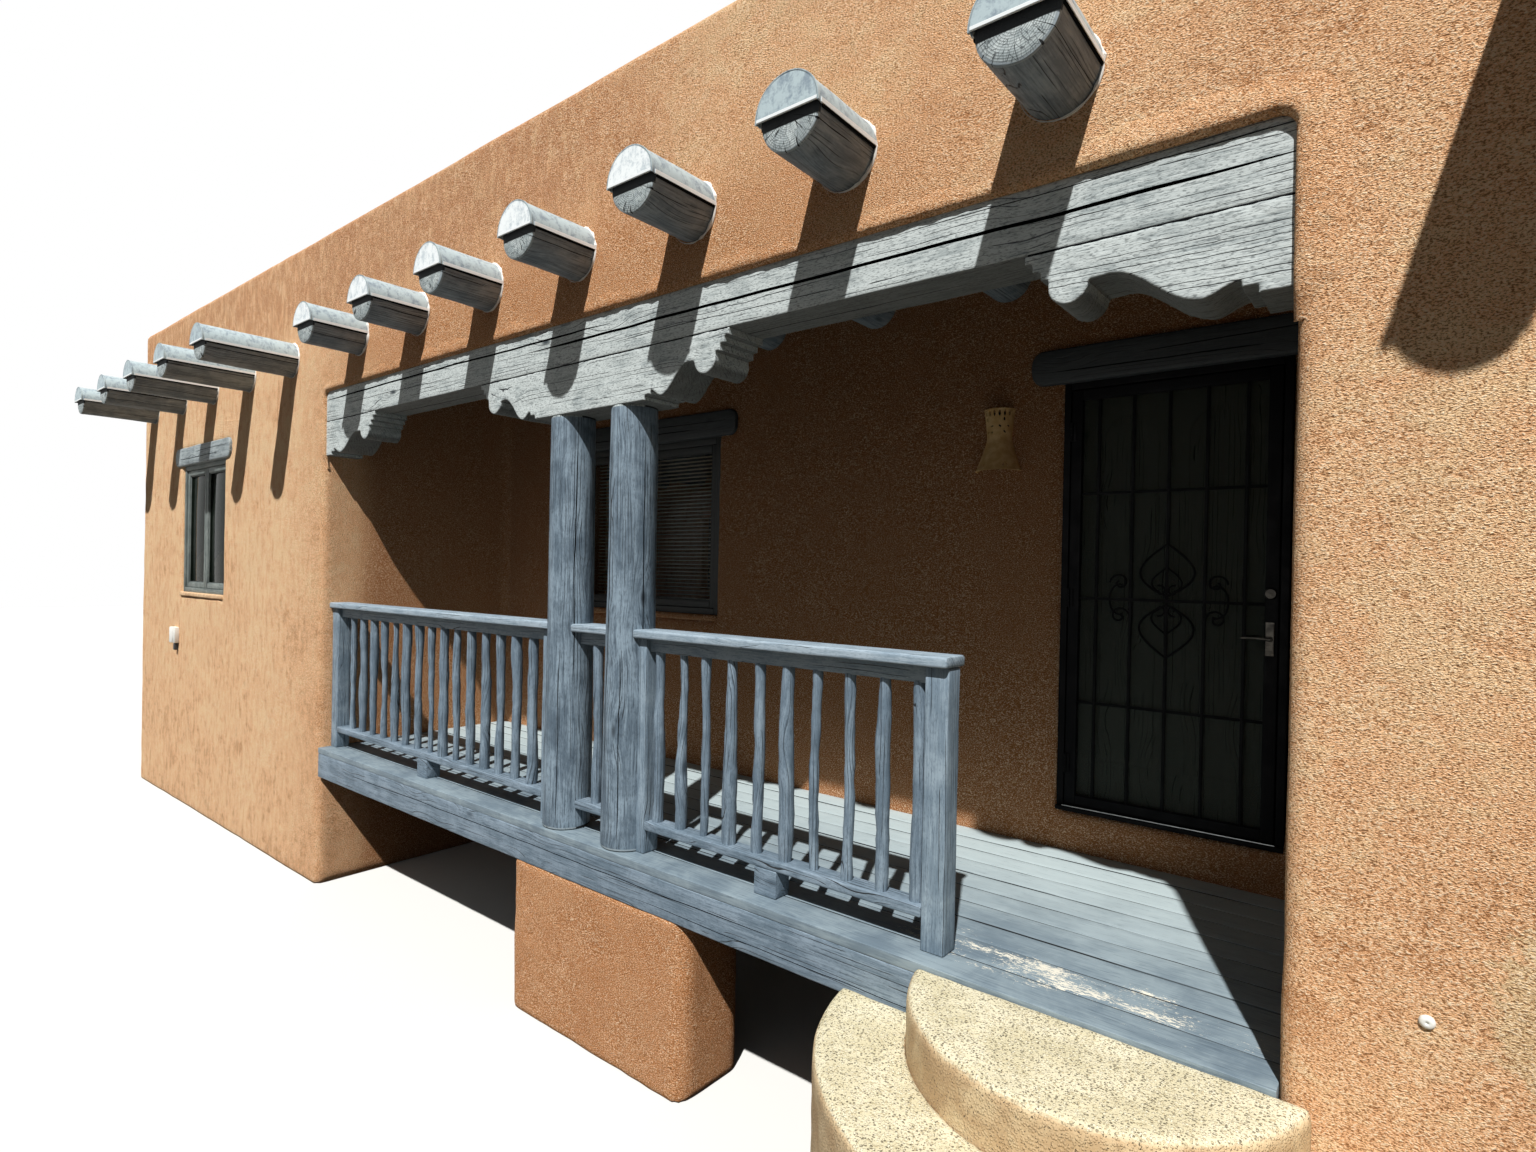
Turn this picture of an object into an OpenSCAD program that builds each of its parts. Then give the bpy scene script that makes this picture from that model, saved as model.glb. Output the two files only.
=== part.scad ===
// Adobe house in the Pueblo Revival manner, with an inset porch between two long flanks.
// The facade looks towards -Y, X runs along it to the right, and Z = 0 is the lowest ground
// that the walls reach. Every size is in millimetres.

/* [House] */
// Length of the facade between the outer corners
house_w = 14780; // [12500:20:18000]
// Depth of the house from facade to back wall
house_d = 7400; // [6000:50:9000]
// Thickness of every stuccoed adobe wall
wall_t = 280; // [240:5:400]
// Top of the parapet above the lowest ground
parapet_z = 4640; // [4450:5:5000]
// Radius of the upright outer corners
corner_r = 180; // [60:5:260]
// Radius of the parapet's outer edge
crown_out_r = 50; // [40:5:160]
// Radius of the parapet's inner edge
crown_in_r = 90; // [30:5:110]
// Radius of the stucco edges round the porch
arris_r = 45; // [10:5:90]

/* [Floor and roof] */
// Top of the inner floor above the lowest ground
floor_z = 1150; // [900:5:1160]
// Thickness of the inner floor
floor_t = 150; // [80:5:250]
// Thickness of the ceiling boards that lie on the logs
ceiling_t = 30; // [18:1:50]
// Thickness of the roof fill over the boards
roof_t = 175; // [100:5:220]

/* [Roof logs] */
// Radius of the peeled roof logs
viga_r = 125; // [90:1:150]
// Height of the logs' centre lines
viga_z = 3802; // [3790:1:3850]
// Number of logs over the porch
porch_vigas_n = 7; // [5:1:7]
// Spacing of the logs over the porch
porch_viga_pitch = 773; // [700:1:800]
// Shift of the porch logs from the middle of the house
porch_viga_shift = -38; // [-60:1:60]
// Distance from the porch's side wall to the nearest flank log's centre line
flank_viga_start = 288; // [160:2:300]
// How far the porch logs stand out of the facade
porch_viga_reach = 340; // [200:5:600]
// Spacing of the logs over each flank
flank_viga_pitch = 859; // [700:1:880]
// How far the flank logs stand out of the facade
flank_viga_reach = 597; // [300:1:800]
// Thickness of the half round cap over each log end
cap_t = 9; // [3:1:14]
// How far the cap stands past the log's end
cap_lip = 20; // [8:1:40]

/* [Porch opening] */
// Clear width of the porch
porch_w = 5790; // [5300:10:5800]
// Depth of the porch from the facade to its back wall
porch_d = 1490; // [1300:10:2200]
// Height of the carved beam
beam_h = 215; // [180:1:260]
// Underside of the carved beam above the lowest ground
beam_z = 3290; // [3260:1:3330]
// Thickness of the beam from front to back
beam_t = 220; // [160:1:240]
// How far the beam's face lies behind the facade
beam_setback = 20; // [5:1:35]
// How far the beam runs into each wall
beam_bearing = 200; // [100:5:300]

/* [Carved brackets] */
// Depth of the brackets under the beam
bracket_h = 240; // [200:1:260]
// Length of each half bracket at the walls
side_bracket_l = 720; // [640:5:900]
// Half the length of the bracket over the posts
post_bracket_half_l = 922; // [800:2:1200]
// Length of each of the three small steps at a bracket's tip
bracket_step_l = 25; // [15:1:35]
// Height of each of the three small steps at a bracket's tip
bracket_step_h = 29; // [20:1:30]
// Radius of the rolled end of a bracket
volute_r = 61; // [45:1:66]
// Length of the run from the rolled end to the cusp, side brackets
side_run_l = 400; // [300:5:460]
// Length of the run from the rolled end to the cusp, middle bracket
post_run_l = 270; // [220:5:320]

/* [Log posts] */
// Radius of a log post at its foot
post_foot_r = 126; // [100:1:150]
// Radius of a log post at its top
post_top_r = 113; // [90:1:140]
// Distance between the centre lines of the two log posts
post_spacing = 462; // [380:2:600]
// Middle of the pair of posts from the middle of the house
post_pair_x = 10; // [-60:5:60]

/* [Deck and steps] */
// Top of the deck above the lowest ground
deck_z = 978; // [900:1:1040]
// Thickness of the deck boards
board_t = 38; // [25:1:45]
// Number of deck boards from front to back
boards_n = 10; // [8:1:12]
// Gap between deck boards
board_gap = 5; // [3:1:10]
// Height of the rim beam and the joists under the boards
joist_h = 170; // [140:1:220]
// Thickness of the rim beam and the joists
joist_t = 40; // [38:1:60]
// Number of joists along the deck
joists_n = 9; // [6:1:12]
// Length of the stuccoed pier under the deck's rim
pier_l = 1275; // [1000:5:1600]
// Middle of the pier from the middle of the house
pier_x = 118; // [0:1:150]
// Depth of the pier from front to back
pier_d = 400; // [300:10:500]
// Radius of the upper step's round front
upper_step_r = 571; // [500:1:650]
// Top of the upper step above the lowest ground
upper_step_z = 965; // [880:1:1000]
// Radius of the lower step's round front
lower_step_r = 862; // [780:1:950]
// Top of the lower step above the lowest ground
lower_step_z = 800; // [700:1:840]
// Centre of both steps from the middle of the house
steps_x = 2415; // [2300:5:2500]
// How far the centre of the steps' round lies behind the facade
steps_inset = 110; // [60:5:140]
// Radius of the rounded edge of each step's tread
nosing_r = 25; // [10:1:40]

/* [Railing] */
// Height of the hand rail's top above the deck
rail_h = 1030; // [900:5:1100]
// Width of the flat hand rail
cap_rail_w = 145; // [110:1:170]
// Thickness of the flat hand rail
cap_rail_t = 40; // [30:1:50]
// Height of the rail under the hand rail
under_rail_h = 88; // [60:1:100]
// Thickness of the rail under the hand rail
under_rail_t = 38; // [30:1:60]
// Height of the bottom rail's underside above the deck
toe_gap = 110; // [60:1:160]
// Thickness of the flat bottom rail
toe_rail_t = 40; // [30:1:50]
// Width of the square posts and of the bottom rail
rail_post_w = 90; // [70:1:110]
// Width of the block under each long bottom rail
toe_block_w = 115; // [60:5:160]
// Width of the half posts against the logs
half_post_w = 40; // [25:5:60]
// How far the hand rail runs past the right end post
cap_rail_overhang = 5; // [0:1:90]
// Gap between a post and the nearest baluster, right stretch
end_gap = 40; // [30:5:120]
// Spacing of the sapling balusters
baluster_pitch = 148; // [120:1:200]
// Radius of the thickest balusters
baluster_r = 22; // [16:1:28]
// How far a bent sapling strays from its centre line
baluster_sway = 9; // [0:1:16]
// Right end post from the middle of the house
end_post_x = 1870; // [1750:5:1960]

/* [Windows] */
// Width of the flank windows' openings
window_w = 1140; // [900:10:1400]
// Height of all window openings
window_h = 1185; // [1000:5:1190]
// Bottom of the window openings above the lowest ground
window_z = 1992; // [1900:2:2000]
// Centre of each flank window from the middle of the house
window_x = 5440; // [5400:5:5700]
// Width of the porch window's opening
porch_window_w = 1450; // [1100:10:1470]
// Centre of the porch window from the middle of the house
porch_window_x = -1190; // [-1300:5:-1100]
// Distance of the two middle back windows from the middle of the house
back_window_x = 1900; // [1500:10:2400]
// How far the window frames lie behind the wall's face
reveal = 20; // [20:5:90]
// Width of a window frame's face
frame_w = 42; // [30:1:60]
// Depth of a window frame from front to back
frame_d = 90; // [60:5:120]
// How far the sashes lie behind their frame's face
sash_setback = 12; // [0:1:20]
// Thickness of a sash
sash_t = 44; // [34:1:50]
// Width of a sash's stiles and rails
sash_w = 48; // [35:1:60]
// Thickness of the glass
glass_t = 6; // [4:1:24]
// Height of the wooden lintels
lintel_h = 172; // [120:2:190]
// How far a lintel runs past its opening on each side
lintel_ear = 155; // [100:5:220]
// Thickness of a lintel from front to back
lintel_t = 140; // [100:5:200]
// How far a lintel stands out of the wall
lintel_proud = 18; // [5:1:40]
// Thickness of the sills
sill_t = 40; // [25:1:60]
// How far a sill stands out of the wall
sill_proud = 14; // [0:1:40]
// Number of slats in the blind behind the porch window
slats_n = 44; // [30:1:50]
// Gap between the blind and the sashes' frame at each side
blind_gap = 15; // [8:1:30]
// Width of a slat
slat_w = 24; // [16:1:26]
// Thickness of a slat
slat_t = 1.2; // [0.8:0.1:2]
// Tilt of the slats
slat_tilt = 35; // [10:1:55]
// Height of the blind's head rail
blind_head_h = 30; // [20:1:45]
// Height of the blind's bottom rail
blind_foot_h = 14; // [10:1:20]

/* [Doors] */
// Width of the doorway
door_w = 940; // [900:5:980]
// Height of the doorway
door_h = 2060; // [1980:5:2080]
// Bottom of the doorway above the lowest ground
door_z = 1166; // [1150:2:1180]
// Centre of the doorway from the middle of the house
door_x = 2270; // [2150:5:2300]
// Width of the door frame's face
jamb_w = 32; // [25:1:40]
// Depth of the door frame
jamb_d = 190; // [180:1:200]
// How far the door frame lies behind the porch's back wall face
jamb_setback = 12; // [6:1:20]
// Height of the threshold
threshold_h = 22; // [15:1:30]
// Thickness of the screen door
screen_door_t = 30; // [25:1:36]
// Thickness of the entry door
entry_door_t = 44; // [40:1:48]
// Gap round each door leaf
leaf_gap = 5; // [4:1:8]
// Width of the screen door's frame members
stile_w = 50; // [40:1:70]
// Side of a square grille bar
bar_w = 13; // [9:1:16]
// Number of upright grille bars
bars_n = 5; // [3:1:7]
// How far the threshold stands out of the porch's back wall
threshold_nose = 12; // [0:1:30]
// Height of each hinge barrel
barrel_l = 90; // [60:5:120]
// Radius of the hinge barrels
barrel_r = 8; // [6:0.5:9]
// Height of the screen door's lever above the threshold
lever_h = 880; // [800:5:950]
// Length of the screen door's lever
lever_l = 105; // [80:5:130]
// Height of the plate behind the lever
lever_plate_h = 140; // [100:5:180]
// Width of the plate behind the lever
lever_plate_w = 34; // [28:1:36]
// Height of the dead bolt over the lever
bolt_rise = 190; // [150:5:230]
// Radius of the dead bolt's rose
bolt_r = 24; // [18:1:24]
// Height of the entry door's knob above the threshold
knob_h = 960; // [955:5:990]
// Radius of the entry door's knob
knob_r = 24; // [20:1:30]
// Width of the entry door's rails and stiles
panel_rail = 110; // [80:5:130]
// Height of the entry door's bottom rail
bottom_rail_h = 200; // [150:5:260]
// Height of the entry door's lower panels
low_panel_h = 610; // [450:10:750]
// Width of the groove round each panel
groove_w = 22; // [12:1:30]
// Depth of the groove round each panel
groove_t = 9; // [4:1:14]

/* [Wall light and spouts] */
// Place of the clay wall light from the middle of the house
light_x = 1480; // [1250:5:1500]
// Bottom of the clay wall light above the lowest ground
light_z = 2820; // [2600:5:3100]
// Radius of the clay wall light at its skirt
light_skirt_r = 120; // [90:1:140]
// Radius of the clay wall light at its neck
light_neck_r = 68; // [50:1:85]
// Height of the clay wall light
light_h = 330; // [280:2:380]
// Wall of the clay light
light_t = 8; // [5:1:12]
// Number of roof spouts on the back wall
spouts_n = 3; // [2:1:4]
// Spacing of the roof spouts
spout_pitch = 4434; // [3000:10:4500]
// Wall of a roof spout
spout_t = 30; // [20:1:45]
// Width of a roof spout
spout_w = 210; // [160:5:260]
// Height of a roof spout
spout_h = 150; // [120:5:200]
// How far a roof spout stands out of the wall
spout_reach = 380; // [250:10:500]

/* [Hidden] */

$fn = 48;
eps = 1;

// Colours of the real finishes
stucco = "#c48a5e";
timber = "#8495a3";
timber_dark = "#4d5b68";
cap_metal = "#aebcc4";
concrete = "#cdbb9b";
bronze = "#1d1d1f";

// Places that follow from the sizes above
half_w = house_w / 2;
inner_half_w = half_w - wall_t;
half_porch = porch_w / 2;
ceiling_z = viga_z + viga_r;
roof_z = ceiling_z + ceiling_t;
beam_top_z = beam_z + beam_h;
beam_y = beam_setback + beam_t / 2;
bracket_z = beam_z - bracket_h;
flank_viga_x = half_porch + wall_t + flank_viga_start;
flank_vigas_n = floor((inner_half_w - viga_r - flank_viga_x) / flank_viga_pitch) + 1;
step_front = lower_step_r - steps_inset;
front_reach = max(step_front, flank_viga_reach + cap_lip);
back_reach = flank_viga_reach + cap_lip;
// Moves the facade so that the origin is under the middle of the whole object
facade_y = (front_reach - back_reach - house_d) / 2;

sash_y = reveal + sash_setback;

// Each window: where its opening meets the wall's face, how it is turned, and its width
WINDOWS = [
  [-window_x, 0, 0, window_w],
  [window_x, 0, 0, window_w],
  [porch_window_x, porch_d, 0, porch_window_w],
  [-window_x, house_d, 180, window_w],
  [-back_window_x, house_d, 180, window_w],
  [back_window_x, house_d, 180, window_w],
  [window_x, house_d, 180, window_w],
  [-half_w, house_d / 2, -90, window_w],
  [half_w, house_d / 2, 90, window_w]
];

// Door leaves
leaf_w = door_w - 2 * jamb_w - 2 * leaf_gap;
leaf_z = door_z + threshold_h + leaf_gap;
leaf_h = door_z + door_h - jamb_w - leaf_gap - leaf_z;
leaf_x = door_x - leaf_w / 2;
jamb_y = porch_d + jamb_setback;
entry_y = jamb_y + jamb_d - entry_door_t;
pivot_out = 6;
pivot_in = 2;
lug_w = 22;
lug_t = 12;
stop_w = 12;
lever_clear = 5;

// Railing
rail_y = beam_y;
rail_top_z = deck_z + rail_h;
under_rail_z = rail_top_z - cap_rail_t - under_rail_h;
toe_rail_z = deck_z + toe_gap;
baluster_z = toe_rail_z + toe_rail_t;
left_post_x = post_pair_x - post_spacing / 2;
right_post_x = post_pair_x + post_spacing / 2;
// Each stretch of railing: left end, right end, and the place of its first baluster from each end
STRETCHES = [
  [-half_porch + rail_post_w, left_post_x - post_foot_r - half_post_w, baluster_pitch],
  [left_post_x + post_foot_r, right_post_x - post_foot_r, post_spacing / 2 - post_foot_r],
  [right_post_x + post_foot_r + half_post_w, end_post_x - rail_post_w / 2, end_gap]
];
// How far each length of hand rail runs, to the middle of the logs that it meets
HAND_RAIL_ENDS = [
  [-half_porch, left_post_x],
  [left_post_x, right_post_x],
  [right_post_x, end_post_x + rail_post_w / 2 + cap_rail_overhang]
];

// Places its children in the house: the facade at y = 0 there
module in_house() {
  translate([0, facade_y, 0]) children();
}

// What a quarter round takes off a square corner that points to +X +Y
module corner_waste(r) {
  difference() {
    translate([-r, -r]) square(r + eps);
    translate([-r, -r]) circle(r);
  }
}

// A prism along X that rounds the edge on the axis of a solid lying at -Y -Z
module edge_waste(l, r) {
  rotate([90, 0, 90]) translate([0, 0, -l / 2]) linear_extrude(l) corner_waste(r);
}

// A rectangle with round corners, its middle at the origin
module round_rect(w, h, r) {
  square([w - 2 * r, h], center = true);
  square([w, h - 2 * r], center = true);
  for (sx = [-1, 1], sy = [-1, 1])
    translate([sx * (w / 2 - r), sy * (h / 2 - r)]) circle(r);
}

// A box given by its low and high corners
module block(low, high) {
  translate(low) cube(high - low);
}

// The outer form of the house: round upright corners and a round crown
module envelope() {
  difference() {
    block([-half_w, 0, 0], [half_w, house_d, parapet_z]);
    for (sx = [-1, 1], sy = [0, 1])
      translate([sx * half_w, sy * house_d, -eps])
        scale([sx, sy == 1 ? 1 : -1, 1])
          linear_extrude(parapet_z + 2 * eps) corner_waste(corner_r);
    translate([0, 0, parapet_z]) mirror([0, 1, 0]) edge_waste(house_w + 2 * eps, crown_out_r);
    translate([0, house_d, parapet_z]) edge_waste(house_w + 2 * eps, crown_out_r);
    for (s = [-1, 1])
      translate([s * half_w, house_d / 2, parapet_z])
        rotate([0, 0, -s * 90]) edge_waste(house_d + 2 * eps, crown_out_r);
  }
}

// Rounds the parapet's inner edges
module inner_crown() {
  l = house_w - 2 * wall_t;
  translate([0, wall_t, parapet_z]) edge_waste(l, crown_in_r);
  translate([0, house_d - wall_t, parapet_z]) mirror([0, 1, 0]) edge_waste(l, crown_in_r);
  for (s = [-1, 1])
    translate([s * inner_half_w, house_d / 2, parapet_z])
      rotate([0, 0, s * 90]) edge_waste(house_d - 2 * wall_t, crown_in_r);
}

// One log along Y through the house, with the same reach at both ends
module viga(x, reach) {
  translate([x, -reach, viga_z]) rotate([-90, 0, 0]) cylinder(h = house_d + 2 * reach, r = viga_r);
}

module porch_viga_set() {
  for (i = [0 : porch_vigas_n - 1])
    viga(porch_viga_shift + (i - (porch_vigas_n - 1) / 2) * porch_viga_pitch, porch_viga_reach);
}

module flank_viga_set(side) {
  for (i = [0 : flank_vigas_n - 1])
    viga(side * (flank_viga_x + i * flank_viga_pitch), flank_viga_reach);
}

// Puts its children at a window, in the frame of its opening: x along the wall, y into it
module at_window(w) {
  translate([w[0], w[1], window_z]) rotate([0, 0, w[2]]) children();
}

module window_holes() {
  for (w = WINDOWS)
    at_window(w) {
      block([-w[3] / 2, -2 * wall_t, -sill_t], [w[3] / 2, wall_t + eps, window_h]);
      lintel(w[3], window_h);
    }
}

// A wooden lintel with rounded ends over an opening of width w
module lintel(w, z) {
  translate([0, lintel_t - lintel_proud, z + lintel_h / 2])
    rotate([90, 0, 0])
      linear_extrude(lintel_t) round_rect(w + 2 * lintel_ear, lintel_h, lintel_h / 3);
}

module door_hole() {
  block([door_x - door_w / 2, porch_d - eps, door_z],
        [door_x + door_w / 2, porch_d + wall_t + eps, door_z + door_h]);
  door_lintel();
}

module door_lintel() {
  translate([door_x, porch_d, door_z]) lintel(door_w, door_h);
}

// The beam with its bearings in the walls
module beam_bar() {
  block([-half_porch - beam_bearing, beam_setback, beam_z],
        [half_porch + beam_bearing, beam_setback + beam_t, beam_top_z]);
}

// The pockets in the front walls for the beam and the brackets under it
module beam_pocket() {
  block([-half_porch - beam_bearing, beam_setback, bracket_z],
        [half_porch + beam_bearing, beam_setback + beam_t, beam_top_z]);
}

// A flank's front wall; side is -1 on the left and 1 on the right
module flank_front(side) {
  difference() {
    intersection() {
      envelope();
      scale([side, 1, 1]) block([half_porch, 0, 0], [half_w, wall_t, parapet_z]);
    }
    inner_crown();
    window_holes();
    beam_pocket();
    flank_viga_set(side);
    translate([side * half_porch, 0, -eps])
      scale([-side, -1, 1]) linear_extrude(beam_top_z + eps) corner_waste(arris_r);
  }
}

module left_front_wall() {
  color(stucco) in_house() flank_front(-1);
}

module right_front_wall() {
  color(stucco) in_house() flank_front(1);
}

// The wall over the porch, from the beam's top to the parapet
module porch_head_wall() {
  color(stucco) in_house() difference() {
    intersection() {
      envelope();
      block([-half_porch, 0, beam_top_z], [half_porch, wall_t, parapet_z]);
    }
    inner_crown();
    porch_viga_set();
    translate([0, 0, beam_top_z]) rotate([180, 0, 0]) edge_waste(porch_w + 2 * eps, beam_setback - eps);
  }
}

// The porch's side walls
module porch_side(side) {
  scale([side, 1, 1])
    block([half_porch, wall_t, 0], [half_porch + wall_t, porch_d + wall_t, roof_z]);
}

module left_porch_wall() {
  color(stucco) in_house() porch_side(-1);
}

module right_porch_wall() {
  color(stucco) in_house() porch_side(1);
}

// A stretch of the porch's back wall between two places along X and two heights
module porch_back(x0, x1, z0, z1) {
  difference() {
    block([x0, porch_d, z0], [x1, porch_d + wall_t, z1]);
    window_holes();
    door_hole();
    porch_viga_set();
  }
}

module porch_back_wall() {
  color(stucco) in_house() porch_back(-half_porch, door_x - door_w / 2, 0, roof_z);
}

module door_pier() {
  color(stucco) in_house() porch_back(door_x + door_w / 2, half_porch, 0, roof_z);
}

module door_head_wall() {
  color(stucco) in_house()
    porch_back(door_x - door_w / 2, door_x + door_w / 2, door_z + door_h, roof_z);
}

module door_footing() {
  color(stucco) in_house()
    block([door_x - door_w / 2, porch_d, 0], [door_x + door_w / 2, porch_d + wall_t, door_z]);
}

// The walls at the two ends of the house
module side_wall(side) {
  difference() {
    intersection() {
      envelope();
      scale([side, 1, 1]) block([inner_half_w, wall_t, 0], [half_w, house_d - wall_t, parapet_z]);
    }
    inner_crown();
    window_holes();
  }
}

module left_side_wall() {
  color(stucco) in_house() side_wall(-1);
}

module right_side_wall() {
  color(stucco) in_house() side_wall(1);
}

module back_wall() {
  color(stucco) in_house() difference() {
    intersection() {
      envelope();
      block([-half_w, house_d - wall_t, 0], [half_w, house_d, parapet_z]);
    }
    inner_crown();
    window_holes();
    porch_viga_set();
    flank_viga_set(-1);
    flank_viga_set(1);
    spout_places() block([-spout_w / 2, -wall_t - eps, 0], [spout_w / 2, eps, spout_h]);
  }
}

module house_floor() {
  y0 = porch_d + wall_t;
  color("tan") in_house() {
    block([-inner_half_w, y0, floor_z - floor_t], [inner_half_w, house_d - wall_t, floor_z]);
    for (s = [-1, 1])
      scale([s, 1, 1])
        block([half_porch + wall_t, wall_t, floor_z - floor_t], [inner_half_w, y0, floor_z]);
  }
}

module roof_sheet(z0, z1) {
  block([-inner_half_w, wall_t, z0], [inner_half_w, house_d - wall_t, z1]);
}

// The boards over the rooms and over the porch, parted by the porch's walls
module ceiling_boards() {
  color("#7d8790") in_house() difference() {
    roof_sheet(ceiling_z, roof_z);
    difference() {
      block([-half_porch - wall_t, 0, ceiling_z - eps],
            [half_porch + wall_t, porch_d + wall_t, roof_z + eps]);
      block([-half_porch, -eps, ceiling_z - 2 * eps], [half_porch, porch_d, roof_z + 2 * eps]);
    }
  }
}

module roof_deck() {
  color("#b9b2a5") in_house() roof_sheet(roof_z, roof_z + roof_t);
}

module porch_vigas() {
  color(timber) in_house() porch_viga_set();
}

module left_vigas() {
  color(timber) in_house() flank_viga_set(-1);
}

module right_vigas() {
  color(timber) in_house() flank_viga_set(1);
}

// The metal cover over the upper half of one log end, drawn for the front
module cap(reach) {
  r = viga_r + cap_t;
  translate([0, -reach - cap_lip, 0]) rotate([-90, 0, 0]) difference() {
    cylinder(h = reach + cap_lip, r = r);
    translate([0, 0, cap_lip]) cylinder(h = reach + eps, r = viga_r);
    translate([-r - eps, 0, -eps]) cube([2 * r + 2 * eps, r + eps, reach + cap_lip + 2 * eps]);
  }
}

// Caps at the front and at the back of one log
module cap_pair(x, reach) {
  translate([x, 0, viga_z]) cap(reach);
  translate([x, house_d, viga_z]) mirror([0, 1, 0]) cap(reach);
}

module viga_caps() {
  color(cap_metal) in_house() {
    for (i = [0 : porch_vigas_n - 1])
      cap_pair(porch_viga_shift + (i - (porch_vigas_n - 1) / 2) * porch_viga_pitch, porch_viga_reach);
    for (side = [-1, 1], i = [0 : flank_vigas_n - 1])
      cap_pair(side * (flank_viga_x + i * flank_viga_pitch), flank_viga_reach);
  }
}

module porch_beam() {
  color(timber) in_house() beam_bar();
}

// Points of an arc round a centre, from angle a0 to a1
function arc(c, r, a0, a1, n = 10) =
  [for (i = [0 : n]) let (a = a0 + (a1 - a0) * i / n) c + r * [cos(a), sin(a)]];

// A smooth run between two points with flat ends, as a half wave
function wave(p, q, n = 12) =
  [for (i = [0 : n]) let (t = i / n, d = q - p) p + [d[0] * t, d[1] * (1 - cos(180 * t)) / 2]];

// The carved underside of a bracket: its tip at x = 0, its root at x = l, the beam at y = 0
function bracket_outline(l, run) =
  let (
    fillet = bracket_step_l,
    drop = bracket_step_h,
    roll = [3 * fillet + volute_r, -3 * drop - fillet],
    notch = roll + [volute_r, 0],
    hollow = notch + [0.15 * run, 4],
    belly = notch + [0.76 * run, -0.5 * bracket_h],
    cusp = notch + [run, -0.36 * bracket_h],
    step = 20
  )
  concat(
    [[0, 0], [0, -drop], [fillet, -drop], [fillet, -2 * drop], [2 * fillet, -2 * drop],
     [2 * fillet, -3 * drop], [3 * fillet, -3 * drop]],
    arc(roll, volute_r, 180, 360, 16),
    wave(hollow, belly),
    [for (p = wave(belly, cusp, 6)) if (p[0] > belly[0]) p],
    [cusp - [0, step], cusp + [2 * step, -step], [cusp[0] + 2 * step, -bracket_h], [l, -bracket_h], [l, 0]]
  );

// A bracket's half, its root at x = 0 and its tip at -X
module bracket_half(l, run, extra) {
  translate([-l, beam_setback + beam_t, beam_z])
    rotate([90, 0, 0]) linear_extrude(beam_t) polygon(bracket_outline(l + extra, run));
}

module left_bracket() {
  color(timber) in_house() translate([-half_porch, 0, 0])
    mirror([1, 0, 0]) bracket_half(side_bracket_l, side_run_l, beam_bearing);
}

module right_bracket() {
  color(timber) in_house() translate([half_porch, 0, 0])
    bracket_half(side_bracket_l, side_run_l, beam_bearing);
}

module post_bracket() {
  color(timber) in_house() translate([post_pair_x, 0, 0]) {
    bracket_half(post_bracket_half_l, post_run_l, 0);
    mirror([1, 0, 0]) bracket_half(post_bracket_half_l, post_run_l, 0);
  }
}

module post_pair() {
  for (x = [left_post_x, right_post_x])
    translate([x, beam_y, deck_z])
      cylinder(h = bracket_z - deck_z, r1 = post_foot_r, r2 = post_top_r);
}

module log_posts() {
  color(timber_dark) in_house() post_pair();
}

module deck_boards() {
  pitch = (porch_d + board_gap) / boards_n;
  color(timber) in_house()
    for (i = [0 : boards_n - 1])
      block([-half_porch, i * pitch, deck_z - board_t],
            [half_porch, (i + 1) * pitch - board_gap, deck_z]);
}

module deck_frame() {
  z0 = deck_z - board_t - joist_h;
  z1 = deck_z - board_t;
  color(timber) in_house() {
    block([-half_porch, 0, z0], [half_porch, joist_t, z1]);
    block([-half_porch, porch_d - joist_t, z0], [half_porch, porch_d, z1]);
    for (i = [0 : joists_n - 1])
      translate([-half_porch + joist_t / 2 + i * (porch_w - joist_t) / (joists_n - 1), 0, 0])
        block([-joist_t / 2, joist_t / 2, z0], [joist_t / 2, porch_d - joist_t / 2, z1]);
  }
}

module porch_pier() {
  color(stucco) in_house() translate([pier_x, pier_d / 2, 0])
    linear_extrude(deck_z - board_t - joist_h) round_rect(pier_l, pier_d, 80);
}

// The ends of the under rail and the bottom rail of one stretch
function rail_ends(i) = i == 1 ? HAND_RAIL_ENDS[1] : STRETCHES[i];

// The three lengths of flat rail with the rail under them, coped to the logs
module hand_rails() {
  color(cap_metal) in_house() difference() {
    for (i = [0 : 2]) {
      flat = HAND_RAIL_ENDS[i];
      under = rail_ends(i);
      block([flat[0], rail_y - cap_rail_w / 2, rail_top_z - cap_rail_t],
            [flat[1], rail_y + cap_rail_w / 2, rail_top_z]);
      block([under[0], rail_y - under_rail_t / 2, under_rail_z],
            [under[1], rail_y + under_rail_t / 2, rail_top_z - cap_rail_t]);
    }
    post_pair();
  }
}

// The flat bottom rails, each long one on a block at its middle
module bottom_rails() {
  color(timber) in_house() difference() {
    for (i = [0 : 2]) {
      s = rail_ends(i);
      block([s[0], rail_y - rail_post_w / 2, toe_rail_z],
            [s[1], rail_y + rail_post_w / 2, toe_rail_z + toe_rail_t]);
      if (i != 1)
        translate([(s[0] + s[1]) / 2, rail_y, 0])
          block([-toe_block_w / 2, -rail_post_w / 2, deck_z],
                [toe_block_w / 2, rail_post_w / 2, toe_rail_z]);
    }
    post_pair();
  }
}

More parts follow.
